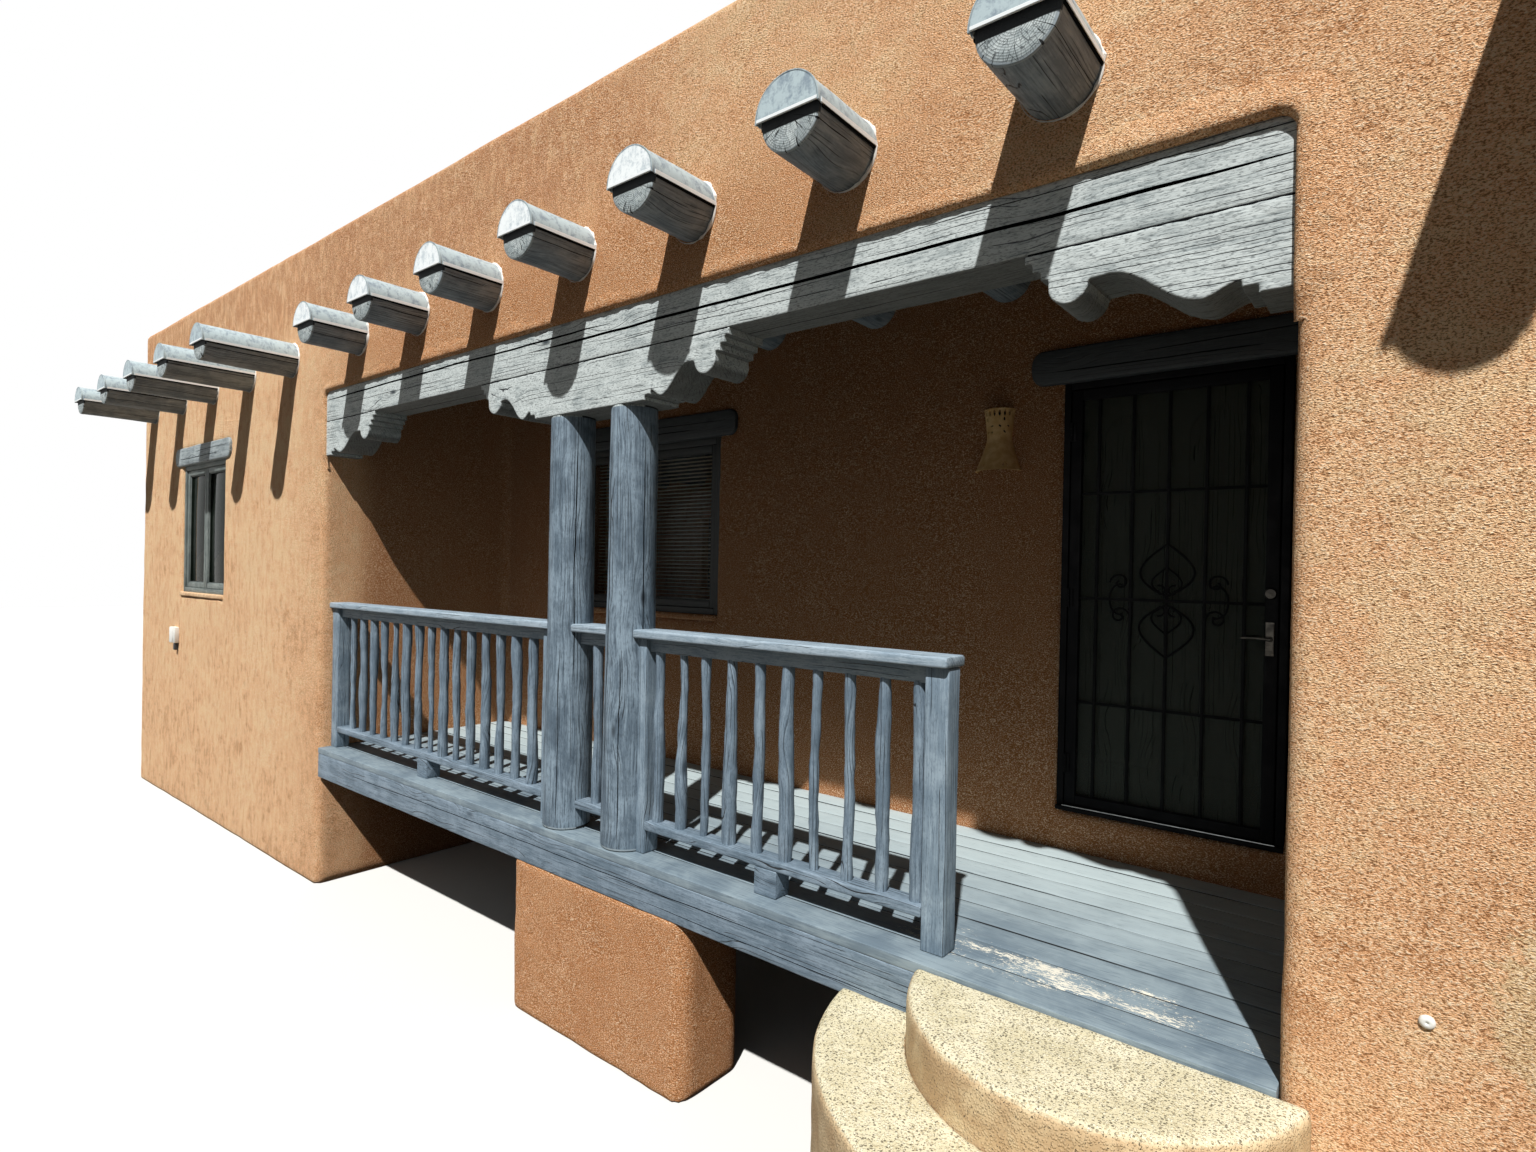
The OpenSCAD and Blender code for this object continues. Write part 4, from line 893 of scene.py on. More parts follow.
# %% Chalky painted sheet metal
def cap_finish(name, main, pale, chalk):
    material, shader, place = finish(name, 0.52, Metallic=0.0)
    cloud = spots(place, 0.05, 4.0, 0.65, 0.6)
    speck = spots(place, 0.008, 3.0, 0.6)
    run = spots(place, 0.02, 3.0, along="z", drawn=5.0)
    tone = sums((cloud, 0.6), (speck, 0.25), (run, 0.3))
    colour = wash(main, pale, (tone, 0.44, 0.62))
    colour = wash(colour, chalk, (tone, 0.72, 0.84))
    colour = wash(colour, "#6b7478", (speck, 0.3, 0.24))
    coat(shader, colour, sums((cloud, 0.5), (speck, 0.2)), 0.0015)
    return material


CAP_METAL = cap_finish("chalky_painted_steel", "#8796a0", "#b4c4c7", "#dfe7e4")
# A paler copy of the cap finish for the front plates over the left of the porch: painted highlight.
SUNLIT_PLATE = cap_finish("rain_chalked_steel", "#c3ced2", "#f4f9f8", "#ffffff")
# The hems are near white.
HEM_METAL = finish("bright_worn_hem", 0.45, Base_Color="#eef2f1")[0]

# %% One cap
SUNLIT_PLATE_SPAN = (-2.5, 0.75)
SHEET_T, HEM_H, SEAM_W, CAP_LIP = 0.003, 0.012, 0.007, 0.02


def half_shell(x, z, r_in, r_out, y0, y1, dent_seed, steps=24, rows=8):
    """The sheet over the upper half of a log, as a closed shell with rounded-off dents."""
    turn = np.linspace(-0.03, math.pi + 0.03, steps + 1)

    def arc(r, y):
        return np.stack([x + r * np.cos(turn), np.full(turn.shape, y), z + r * np.sin(turn)], -1)

    rings = []
    for y in np.linspace(y0, y1, rows):
        dent = 0.0012 * lumps(arc(0.13, y), 0.05, dent_seed)
        rings.append(np.concatenate([arc(r_out + dent, y), arc(r_in + dent, y)[::-1]]))
    return sheet_loft(rings)


def half_disc(x, z, r, y0, y1, steps=24):
    """The front plate: a half disc with a straight lower edge."""
    turn = np.linspace(0, math.pi, steps + 1)
    outline = np.concatenate([
        np.stack([x + r * np.cos(turn), z + r * np.sin(turn)], -1),
        np.stack([x - r * np.linspace(0.9, -0.9, 9), np.full(9, z)], -1),
    ])
    rings = []
    for y, grow in ((y1, 0.0), (y0 + 0.0015, 0.0), (y0, -0.0015)):
        middle = np.array([x, z + r / 2])
        ring = outline + (outline - middle) * (grow / r)
        rings.append(np.stack([ring[:, 0], np.full(len(ring), y), ring[:, 1]], -1))
    return loft(rings)


def rounded_bar(low, high, r=0.003):
    """A bar along X with its long edges rounded."""
    low, high = np.asarray(low, float), np.asarray(high, float)
    turn = np.linspace(0, 2 * np.pi, 13)[:-1] + np.pi / 12
    across = (high[1:] - low[1:]) / 2 - r
    middle = (high[1:] + low[1:]) / 2
    ys = middle[0] + np.sign(np.cos(turn)) * across[0] + r * np.cos(turn)
    zs = middle[1] + np.sign(np.sin(turn)) * across[1] + r * np.sin(turn)
    return loft(np.array([np.stack([np.full(12, x), ys, zs], -1)
                          for x in np.linspace(low[0], high[0], 5)]))


def cap_parts(x, z, r, front, wall, outwards, seed):
    """Front plate, seam, wrap and hems of one cap; outwards is -1 at the front and 1 at the back."""
    tip = front + outwards * CAP_LIP
    y0, y1 = sorted((tip, wall))
    parts = [half_shell(x, z, r + 0.0015, r + 0.0015 + SHEET_T, y0, y1, seed)]
    parts.append(half_disc(x, z, r + 0.0035, tip, tip - outwards * 0.004))
    # These front plates take the paler copy: painted highlight.
    parts[-1]["mats"] += 3 * (outwards < 0 and SUNLIT_PLATE_SPAN[0] < x < SUNLIT_PLATE_SPAN[1])
    hem = sorted((tip + outwards * 0.0005, tip - outwards * 0.007))
    hem = rounded_bar((x - r - 0.001, hem[0], z - 0.001), (x + r + 0.001, hem[1], z + HEM_H), 0.0025)
    hem["mats"] += 1
    parts.append(hem)
    seam = sorted((tip, tip - outwards * SEAM_W))
    parts.append(half_shell(x, z, r + 0.0035, r + 0.0078, seam[0], seam[1], seed, rows=3))
    # Along each side the sheet gets a near-white hem strip, and under it a near-black strip that stands for
    # the shadow in the gap between sheet and log: painted shadow.
    for s, (off, half, bottom, top, shade) in itertools.product((-1, 1), (
            (0.0028, 0.0035, -0.004, 0.012, 1), (0.0008, 0.0028, -0.013, -0.004, 2))):
        edge = x + s * (r + off)
        corners = ((-half, bottom), (half, bottom), (half, top), (-half, top))
        parts.append(loft([[(edge + a, y, z + b) for a, b in corners]
                           for y in (y0 + 0.008 + 0.012 * shade, y1)], shade))
    return parts


parts = []
for log_set in LOG_SETS:
    for i, (low, high) in enumerate(solid_boxes(log_set)):
        (x, _, z), r = (low + high) / 2, (high[0] - low[0]) / 2
        parts += cap_parts(x, z, r, low[1], FACADE + 0.01, -1, 3 * i)
        parts += cap_parts(x, z, r, high[1], BACK - 0.01, 1, 3 * i + 1)
furnish("log_caps", parts, [CAP_METAL, HEM_METAL, CHECK_AND_SHADOW_BLACK, SUNLIT_PLATE], "cap_metal", "viga_caps")

# %% [markdown]
# ## Squared timber
# Beam, lintels, rails, boards and posts are sawn timber: a rounded rectangle lofted along its
# length. Its arrises are worn round, its faces are not quite flat, and the large pieces have
# checks, which again get their own columns of points.

# %% One squared timber
ARRIS_BEND = 0.6


def timber(low, high, along, arris=0.004, step=0.12, cracks=(), wave=0.001, round_ends=0.0, seed=0,
           per_side=5):
    """A sawn timber filling a box. A crack is side, place, start, end, width, depth: side 0 and 2 face
    the first cross axis's high and low end, 1 and 3 the second's, and place runs from -1 to 1 across."""
    low, high = np.asarray(low, float), np.asarray(high, float)
    axis = "xyz".index(along)
    cross = [i for i in range(3) if i != axis]
    half = (high - low)[cross] / 2
    centre = (high + low)[cross] / 2
    length = high[axis] - low[axis]
    cracks = sorted(cracks)
    stations = list(np.linspace(low[axis], high[axis], max(3, int(length / step) + 1)))
    end_r = round_ends or arris
    for end, sign in ((low[axis], 1), (high[axis], -1)):
        turns = np.linspace(0, math.pi / 2, 7 if round_ends else 3)[1:]
        stations += [end + sign * end_r * (1 - math.cos(a)) for a in turns]
    stations = np.unique(np.round(stations, 6))
    rings = []
    for s in stations:
        near_end = min(s - low[axis], high[axis] - s)
        shrink = end_r - math.sqrt(max(0.0, end_r**2 - max(0.0, end_r - near_end) ** 2))
        h = half - (np.array([0.0, shrink]) if round_ends else shrink)
        h = np.maximum(h, 0.002)
        r = min(arris, h.min() * 0.9)
        ring = []
        for side in range(4):
            a0 = side * math.pi / 2
            out = np.array([math.cos(a0), math.sin(a0)])
            way = np.array([-math.sin(a0), math.cos(a0)])
            reach = abs(out) @ h
            span = abs(way) @ h - r
            bends = [out * (reach - r) + sign * way * span + r
                     * (out * math.cos(ARRIS_BEND) + sign * way * math.sin(ARRIS_BEND))
                     for sign in (-1, 1)]
            ring.append((bends[0], 0))
            cuts = [(c[1], c) for c in cracks if c[0] == side]
            clear = [p for p in np.linspace(-1, 1, per_side) if abs(p) == 1
                     or all(abs(p - c) > 0.2 for c, _ in cuts)]
            marks = sorted([(p, None) for p in clear] + cuts, key=lambda m: m[0])
            for place, crack in marks:
                if crack is None:
                    ring.append((out * reach + way * span * place, 0))
                    continue
                _, middle, start, end, width, depth = crack
                taper = 0.12 * (end - start)
                gape = float(np.clip(min(s - start, end - s) / taper, 0, 1)) ** 0.7
                wander = 0.18 * lumps((s, middle * 7.0, seed), 0.7)
                wander = wander + 0.05 * lumps((s, middle * 9.0, seed), 0.16)
                at = middle + wander * min(1.0, 0.2 / max(span, 0.02) ** 0.5)
                lip = (0.5 * width * gape + 0.0001) / max(span, 1e-3)
                for offset, deep, opened in ((-lip, 0.0, 1), (0.0, depth * gape, 1), (lip, 0.0, 0)):
                    ring.append((out * (reach - deep) + way * span * np.clip(at + offset, -0.98, 0.98),
                                 opened))
            ring.append((bends[1], 0))
        flat = np.array([p for p, _ in ring]) + centre
        points = np.zeros((len(flat), 3))
        points[:, axis] = s
        points[:, cross] = flat
        middle = np.zeros(3)
        middle[axis], middle[cross[0]], middle[cross[1]] = s, *centre
        away = points - middle
        away /= np.linalg.norm(away, axis=1)[:, None]
        points += away * (wave * lumps(points, 0.09, seed) + wave * lumps(points, 0.4, seed + 1))[:, None]
        rings.append(points)
        dark_columns = [k for k, (_, opened) in enumerate(ring) if opened]
    part = loft(rings)
    walls_only = np.arange(len(part["faces"])) < (len(rings) - 1) * len(ring)
    part["dark"] = walls_only & np.isin(np.arange(len(part["faces"])) % len(ring), dark_columns)
    return part


# %% [markdown]
# The carved beam spans the porch. Two wide black checks cross its face: one a quarter of the way
# down, from the left end past the middle, and one half way down, from the middle to the right end.

# %% Carved beam
BEARING = 0.06
BEAM_L, BEAM_R = PORCH_L - BEARING, PORCH_R + BEARING
# On a beam along X the cross axes are Y and Z, so side 2 faces the front.
beam_cracks = [
    (2, -0.45, BEAM_L, 0.2, 0.010, 0.035), (2, -0.03, -0.5, BEAM_R, 0.012, 0.045),
    (2, -0.75, 1.7, BEAM_R, 0.003, 0.02), (2, 0.15, -2.6, -1.2, 0.003, 0.02),
    (2, 0.5, 0.2, 1.5, 0.003, 0.012),
    (3, 0.1, BEAM_L + 0.2, BEAM_R - 0.9, 0.005, 0.02), (0, 0.1, -1.8, 2.0, 0.005, 0.02),
]
beam = timber((BEAM_L, BEAM_LOW[1], BEAM_LOW[2]), (BEAM_R, BEAM_HIGH[1], BEAM_HIGH[2]), "x", 0.007, 0.05,
              beam_cracks, 0.0016, seed=3, per_side=9)
furnish("carved_beam", [beam], [BEAM_WOOD], "painted_timber", "porch_beam")

# %% [markdown]
# The brackets are sawn to a scrolled outline: three small steps, a full roll, a hollow, a belly
# and a cusp at the root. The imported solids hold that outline, so each is melted with small voxels,
# which rounds every sawn edge as weather does, and then worn unevenly.

# %% Carved brackets
BRACKET_VOXEL = 0.0045


def melted(name, nodes, voxel, smooth_steps, wear_depth, triangles, material, cut=()):
    """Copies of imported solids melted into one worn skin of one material."""
    bm = bmesh.new()
    for node in nodes:
        bm.from_mesh(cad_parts[node].data)
    bmesh.ops.remove_doubles(bm, verts=bm.verts, dist=1e-5)
    for place, way in cut:
        geometry = bm.verts[:] + bm.edges[:] + bm.faces[:]
        made = bmesh.ops.bisect_plane(bm, geom=geometry, plane_co=place, plane_no=way, clear_outer=True)
        edges = [e for e in made["geom_cut"] if isinstance(e, bmesh.types.BMEdge)]
        bmesh.ops.holes_fill(bm, edges=edges, sides=0)
    mesh = bpy.data.meshes.new(name)
    bm.to_mesh(mesh)
    bm.free()
    piece = bpy.data.objects.new(name, mesh)
    scene.collection.objects.link(piece)
    modifier = piece.modifiers.new("melt", "REMESH")
    modifier.mode, modifier.voxel_size = "VOXEL", voxel
    modifier = piece.modifiers.new("soften", "SMOOTH")
    modifier.factor, modifier.iterations = 0.5, smooth_steps
    evaluated(piece)
    points, normals = points_of(piece.data)
    worn_off = wear_depth * (lumps(points, voxel * 5, 3) + lumps(points, voxel * 14, 4))
    points += normals * worn_off[:, None]
    move_points(piece.data, points)
    piece.data.calc_loop_triangles()
    count = len(piece.data.loop_triangles)
    if count > triangles:
        modifier = piece.modifiers.new("thin", "DECIMATE")
        modifier.ratio = triangles / count
        evaluated(piece)
    piece.data.materials.clear()
    piece.data.materials.append(material)
    return piece


for node, edge, side, triangles in (("left_bracket", PORCH_L, -1, 60_000),
                                    ("right_bracket", PORCH_R, 1, 60_000),
                                    ("post_bracket", 0, 0, 110_000)):
    cut = [((edge + side * BEARING, 0, 0), (side, 0, 0))] if side else ()
    settle(melted("carved_" + node, [node], BRACKET_VOXEL, 1, 0.0012, triangles, BEAM_WOOD, cut),
           "painted_timber", node, sharp=50)
# A thin near-black strip along the top of each bracket stands for the shadow in its joint with the beam:
# painted shadow.
joints = []
for node in ("left_bracket", "post_bracket", "right_bracket"):
    low, high = node_box(node)
    joints.append(timber((low[0] + 0.01, low[1] + 0.0008, high[2] - 0.0035),
                         (high[0] - 0.01, high[1] - 0.0008, high[2] + 0.0035),
                         "x", 0.001, 0.3, wave=0.0004, seed=9, per_side=2))
furnish("open_bracket_joints", joints, [CHECK_AND_SHADOW_BLACK], "painted_timber", sharp=38)

# %% [markdown]
# Two peeled logs carry the beam. They taper upwards and swell a little here and there. They are
# lofted as the roof logs are, standing up.

# %% Log posts
parts = []
for i, (low, high) in enumerate(solid_boxes("log_posts")):
    x, y, _ = (low + high) / 2
    stations = np.linspace(low[2] + 0.001, high[2] + 0.004, 66)
    foot_r = (high[0] - low[0]) / 2 - 0.004
    swell = lumps(np.stack([stations, 0 * stations, 0 * stations + i], 1), 0.3, 12)
    radius = np.interp(stations, [low[2], high[2]], [foot_r, foot_r * 0.9]) + 0.003 * swell
    cracks = [(-2.05 + 0.2 * i, 1.25, 2.95, 0.006, 0.02), (-1.1, 1.0, 1.9, 0.004, 0.015),
              (-0.5 + 0.3 * i, 1.7, 2.9, 0.005, 0.018), (0.9, 1.1, 2.8, 0.006, 0.02),
              (2.5, 1.4, 2.7, 0.005, 0.02)]
    parts.append(log_part("z", (x, y), stations, radius, cracks, 400 + i, columns=60, rough=0.0016))
furnish("log_post_pair", parts, [POST_WOOD, END_GRAIN], "painted_timber", "log_posts", sharp=32)

# %% Lintels
parts = []
for i, (low, high) in enumerate(solid_boxes("wooden_lintels")):
    flat_x = high[0] - low[0] > high[1] - low[1]
    along = "x" if flat_x else "y"
    length = max(high[:2] - low[:2])
    start = low[0] if flat_x else low[1]
    cracks = [(2, 0.35, start + 0.1, start + 0.8 * length, 0.005, 0.012),
              (2, -0.3, start + 0.4 * length, start + 0.95 * length, 0.004, 0.01),
              (0, 0.3, start + 0.1, start + 0.7 * length, 0.005, 0.012)]
    part = timber(low, high, along, 0.014, 0.06, cracks, 0.0015, round_ends=(high[2] - low[2]) / 3,
                  seed=20 + i)
    part["mats"] += int(not flat_x)
    parts.append(part)
furnish("window_and_door_lintels", parts, [LINTEL_X, LINTEL_Y], "painted_timber", "wooden_lintels")

# %% [markdown]
# ## The railing
# A flat cap board on an upright board, a flat bottom rail on a block, square end posts and half
# posts against the logs. All of it is sawn and painted, so each board is a squared timber.

# %% Rails and posts
CAP_T, UNDER_T, UNDER_H, HALF_POST, POST_W, BLOCK_W = 0.040, 0.038, 0.062, 0.040, 0.09, 0.115
HAIR = 0.0005
rail_boxes = solid_boxes("hand_rails")
parts = []
for i, (low, high) in enumerate(rail_boxes):
    y = (low[1] + high[1]) / 2
    under = [low[0] + (POST_W if i == 0 else 0), high[0] - (0.005 + POST_W if i == 2 else 0)]
    if i == 0:
        under[1] -= HALF_POST
    if i == 2:
        under[0] += HALF_POST
    cap = timber((low[0], low[1], high[2] - CAP_T), high, "x", 0.009, 0.1, wave=0.0012, seed=31 + i)
    board = timber((under[0], y - UNDER_T / 2, high[2] - CAP_T - UNDER_H),
                   (under[1], y + UNDER_T / 2, high[2] - CAP_T - HAIR), "x",
                   0.004, 0.1, wave=0.001, seed=35 + i)
    parts += [cap, board]
furnish("hand_rail_boards", parts, [RAIL_WOOD], "painted_timber", "hand_rails")

parts = []
for i, (low, high) in enumerate(solid_boxes("bottom_rails")):
    parts.append(timber((low[0], low[1], high[2] - CAP_T), high, "x", 0.006, 0.1, wave=0.0012,
                        seed=41 + i))
    if i != 1:
        x = (low[0] + high[0] - (0.02 if i == 0 else -0.02)) / 2
        parts.append(timber((x - BLOCK_W / 2, low[1], low[2]),
                            (x + BLOCK_W / 2, high[1], high[2] - CAP_T - HAIR), "x",
                            0.004, 0.04, seed=45 + i))
furnish("bottom_rail_boards", parts, [RIM_WOOD], "painted_timber", "bottom_rails")

parts = [timber(low, high - np.array([0, 0, HAIR]), "z", 0.006, 0.1, wave=0.0015, seed=51 + i)
         for i, (low, high) in enumerate(solid_boxes("rail_posts"))]
furnish("square_rail_posts", parts, [SQUARE_WOOD], "painted_timber", "rail_posts")

# %% [markdown]
# ## Sapling balusters with Geometry Nodes
# The balusters are peeled saplings, each bent its own way. One node tree makes them all: a
# straight line is placed on each foot point, noise pushes its points sideways and changes its
# girth, and a circle is swept along it. The noise reads the place, so no two saplings match.

# %% A node tree with named inputs
def geometry_tree(name, sizes):
    """A Geometry Nodes tree with a mesh in, a mesh out, a material and named number inputs."""
    tree = bpy.data.node_groups.new(name, "GeometryNodeTree")
    tree.interface.new_socket("Geometry", in_out="INPUT", socket_type="NodeSocketGeometry")
    tree.interface.new_socket("Geometry", in_out="OUTPUT", socket_type="NodeSocketGeometry")
    for label, value in sizes.items():
        kind = "NodeSocketInt" if isinstance(value, int) else "NodeSocketFloat"
        socket = tree.interface.new_socket(label, in_out="INPUT", socket_type=kind)
        socket.default_value = value
    tree.interface.new_socket("Material", in_out="INPUT", socket_type="NodeSocketMaterial")
    return tree, add(tree, "NodeGroupInput").outputs


def end_tree(tree, inputs, grown):
    """Ends a tree with real faces, the material that it was given, and the mesh out."""
    whole = add(tree, "GeometryNodeRealizeInstances", {"Geometry": grown})
    dressed = add(tree, "GeometryNodeSetMaterial", {"Geometry": whole, "Material": inputs["Material"]})
    add(tree, "NodeGroupOutput", {"Geometry": dressed})


def grow(piece, tree, material, **values):
    """Runs a tree on a piece and keeps the result as its plain mesh."""
    modifier = piece.modifiers.new(tree.name, "NODES")
    modifier.node_group = tree
    for item in tree.interface.items_tree:
        if item.in_out == "INPUT" and item.socket_type == "NodeSocketMaterial":
            modifier[item.identifier] = material
        elif item.in_out == "INPUT" and item.name.replace(" ", "_") in values:
            modifier[item.identifier] = values[item.name.replace(" ", "_")]
    evaluated(piece)


def seed_points(name, places):
    """A mesh of loose points, for a tree to grow things on."""
    mesh = bpy.data.meshes.new(name)
    mesh.from_pydata([tuple(map(float, p)) for p in places], [], [])
    piece = bpy.data.objects.new(name, mesh)
    scene.collection.objects.link(piece)
    return piece


# %% The sapling tree
tree, inputs = geometry_tree("sapling_tree", {"Height": 0.75, "Girth": 0.021, "Sway": 0.012, "Seed": 3.0})
line_end = add(tree, "ShaderNodeCombineXYZ", {"Z": inputs["Height"]})
line = add(tree, "GeometryNodeCurvePrimitiveLine", {"End": line_end})
joints = add(tree, "GeometryNodeResampleCurve", {"Curve": line, "Count": 26})
planted = add(tree, "GeometryNodeInstanceOnPoints", {"Points": inputs["Geometry"], "Instance": joints})
loose = add(tree, "GeometryNodeRealizeInstances", {"Geometry": planted})
here = add(tree, "GeometryNodeInputPosition")
share = add(tree, "GeometryNodeSplineParameter").outputs["Factor"]
half_turn = add(tree, "ShaderNodeMath", {0: share, 1: math.pi}, operation="MULTIPLY")
arch = add(tree, "ShaderNodeMath", {0: half_turn}, operation="SINE")
bow = add(tree, "ShaderNodeMath", {0: arch, 1: 0.6}, operation="POWER")
slow = add(tree, "ShaderNodeVectorMath", {0: here, 1: (23.0, 1.0, 2.6)}, operation="MULTIPLY")
drift = add(tree, "ShaderNodeTexNoise", {"Vector": slow, "W": inputs["Seed"], "Scale": 1.0, "Detail": 1.5},
            noise_dimensions="4D").outputs["Color"]
centred = add(tree, "ShaderNodeVectorMath", {0: drift, 1: (-0.5, -0.5, -0.5)}, operation="ADD")
flat = add(tree, "ShaderNodeVectorMath", {0: centred, 1: (4.2, 3.0, 0.0)}, operation="MULTIPLY")
reach = add(tree, "ShaderNodeMath", {0: bow, 1: inputs["Sway"]}, operation="MULTIPLY")
push = add(tree, "ShaderNodeVectorMath", {0: flat, "Scale": reach}, operation="SCALE")
bent = add(tree, "GeometryNodeSetPosition", {"Geometry": loose, "Offset": push})
quick = add(tree, "ShaderNodeVectorMath", {0: here, 1: (17.0, 1.0, 1.3)}, operation="MULTIPLY")
swell = add(tree, "ShaderNodeTexNoise", {"Vector": quick, "Scale": 1.0, "Detail": 2.0}).outputs["Fac"]
girth = add(tree, "ShaderNodeMapRange", {"Value": swell, "From Min": 0.3, "From Max": 0.7, "To Min": 0.66,
                                         "To Max": 1.42})
thick = add(tree, "ShaderNodeMath", {0: girth, 1: inputs["Girth"]}, operation="MULTIPLY")
round_cut = add(tree, "GeometryNodeCurvePrimitiveCircle", {"Resolution": 14, "Radius": 1.0})
sized = add(tree, "GeometryNodeSetCurveRadius", {"Curve": bent, "Radius": thick})
swept = add(tree, "GeometryNodeCurveToMesh",
            {"Curve": sized, "Profile Curve": round_cut, "Fill Caps": True})
if "Scale" in swept.inputs:
    tree.links.new(thick.outputs[0], swept.inputs["Scale"])
end_tree(tree, inputs, swept)

# %% Twenty six saplings
bars = solid_boxes("balusters")
rail_y = (rail_boxes[0][0][1] + rail_boxes[0][1][1]) / 2
saplings = seed_points("sapling_balusters",
                       [((low[0] + high[0]) / 2, rail_y, low[2] - 0.004) for low, high in bars])
grow(saplings, tree, SAPLING_WOOD, Height=float(bars[0][1][2] - bars[0][0][2] + 0.034), Girth=0.0225,
     Sway=0.011, Seed=3.7)
points, normals = points_of(saplings.data)
points += normals * (0.0024 * lumps(points, 0.045, 61) + 0.0014 * lumps(points, 0.014, 62))[:, None]
move_points(saplings.data, points)
print(len(bars), "saplings")
settle(saplings, "painted_timber", "balusters", sharp=50)

# %% [markdown]
# ## Deck, rim and pier
# The deck is ten long boards on joists, painted blue-grey. Feet have worn the paint off in front
# of the door, where it flakes in pale streaks along the boards. Further in, the deck is painted
# paler as painted sheen, and the seams between boards are painted near black as painted shade.

# %% Worn deck paint
def deck_finish():
    material, shader, place = finish("worn_deck_paint", 0.6, Specular_IOR_Level=0.4)
    tree = material.node_tree
    fine = spots(place, 0.005, 3.0, 0.6, along="x", drawn=18.0)
    cloud = spots(place, 0.28, 4.0, 0.65, 0.5)
    colour = wash("#65747e", "#87959b", (sums((fine, 0.4), (cloud, 0.7)), 0.42, 0.68))
    dust_and_sheen = spots(place, 0.05, 3.0, 0.7, along="x", drawn=3.0)
    _, y, _ = add(tree, "ShaderNodeSeparateXYZ", {"Vector": place}).outputs
    # Further in under the roof the deck is painted paler: painted sheen.
    painted_sheen_far_in = portion((sums((y, 1.0), (dust_and_sheen, 0.3)), FACADE + 0.35, FACADE + 1.5, 0.0, 0.85))
    colour = wash(colour, "#b7c3c2", painted_sheen_far_in)
    near = add(tree, "ShaderNodeVectorMath", {0: place, 1: (WORN_X, WORN_Y, DECK_Z)}, operation="SUBTRACT")
    squeezed = add(tree, "ShaderNodeVectorMath", {0: near, 1: (1 / 0.5, 1 / 0.1, 0.0)},
                   operation="MULTIPLY")
    far = add(tree, "ShaderNodeVectorMath", {0: squeezed}, operation="LENGTH").outputs["Value"]
    flake = spots(place, 0.008, 5.0, 0.8, 0.4, along="x", drawn=3.0)
    patchy = spots(place, 0.06, 2.0, along="x", drawn=3.0)
    bare = sums((flake, 0.9), (patchy, 0.5), (far, -0.15))
    colour = wash(colour, "#dcd7c6", (bare, 0.655, 0.67))
    from_seam = add(tree, "ShaderNodeMath", {0: y, 1: SEAM_Y}, operation="SUBTRACT")
    from_seam = add(tree, "ShaderNodeMath", {0: from_seam, 1: -BOARD_PITCH / 2}, operation="MAXIMUM")
    seam = add(tree, "ShaderNodeMath", {0: from_seam, 1: BOARD_PITCH / 2}, operation="PINGPONG")
    colour = wash(colour, "#3d4850", (fine, 0.4, 0.28, 0.0, 0.5))
    # Each seam between boards is painted as a near-black line: painted shade in the gap.
    colour = wash(colour, "#171b1d", (seam, 0.005, 0.0035))
    coat(shader, colour, sums((fine, 0.5), (flake, 0.2)), 0.0012)
    return material


WORN_X, WORN_Y = 2.28, -3.42
boards = solid_boxes("deck_boards")
BOARD_PITCH = boards[1][0][1] - boards[0][0][1]
SEAM_Y = (boards[0][1][1] + boards[1][0][1]) / 2
DECK_PAINT = deck_finish()

# %% Boards, rim and joists
parts = []
for i, (low, high) in enumerate(boards):
    low, high = low.copy(), high.copy()
    high[2] -= 0.001 + 0.0008 * (i * 7 % 3)
    low[1], high[1] = low[1] + 0.0014 * (i > 0), high[1] - 0.0014
    parts.append(timber(low, high, "x", 0.002, 0.12, wave=0.0007, seed=70 + i))
furnish("deck_planks", parts, [DECK_PAINT], "painted_timber", "deck_boards")

frame_low, frame_high = node_box("deck_frame")
JOIST_T, JOISTS = 0.04, 9
parts = [
    timber(frame_low, (frame_high[0], frame_low[1] + JOIST_T, frame_high[2] - HAIR), "x", 0.006, 0.1,
           [(2, -0.25, frame_low[0] + 0.4, 1.4, 0.004, 0.012), (2, 0.55, 0.4, 2.7, 0.003, 0.01)], 0.0014,
           seed=81),
    timber((frame_low[0], frame_high[1] - JOIST_T, frame_low[2]),
           (frame_high[0], frame_high[1], frame_high[2] - HAIR),
           "x", 0.004, 0.2, seed=82),
]
for x in np.linspace(frame_low[0] + JOIST_T / 2, frame_high[0] - JOIST_T / 2, JOISTS):
    joist = timber((x - JOIST_T / 2, frame_low[1] + JOIST_T / 2, frame_low[2] + 0.001),
                   (x + JOIST_T / 2, frame_high[1] - JOIST_T / 2, frame_high[2] - 0.001), "y", 0.004, 0.2,
                   seed=83)
    joist["mats"] += 1
    parts.append(joist)
furnish("deck_rim_and_joists", parts, [RIM_WOOD, JOIST_WOOD], "painted_timber", "deck_frame")

# %% [markdown]
# The pier under the rim is stuccoed like the house, with soft round corners. Near the ground the
# stucco is a little darker.

# %% Stuccoed pier
settle(melted("stuccoed_pier", ["porch_pier"], 0.014, 3, 0.002, 40_000, STUCCO), "stucco", "porch_pier",
       sharp=180)

# %% [markdown]
# ## Round steps of exposed aggregate
# The steps are cast concrete, washed before it set, so that small stones stand out of a sandy
# paste. Their risers were trowelled smoother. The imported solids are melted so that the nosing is
# unevenly rounded, and the stones are bumps of about 8 mm.

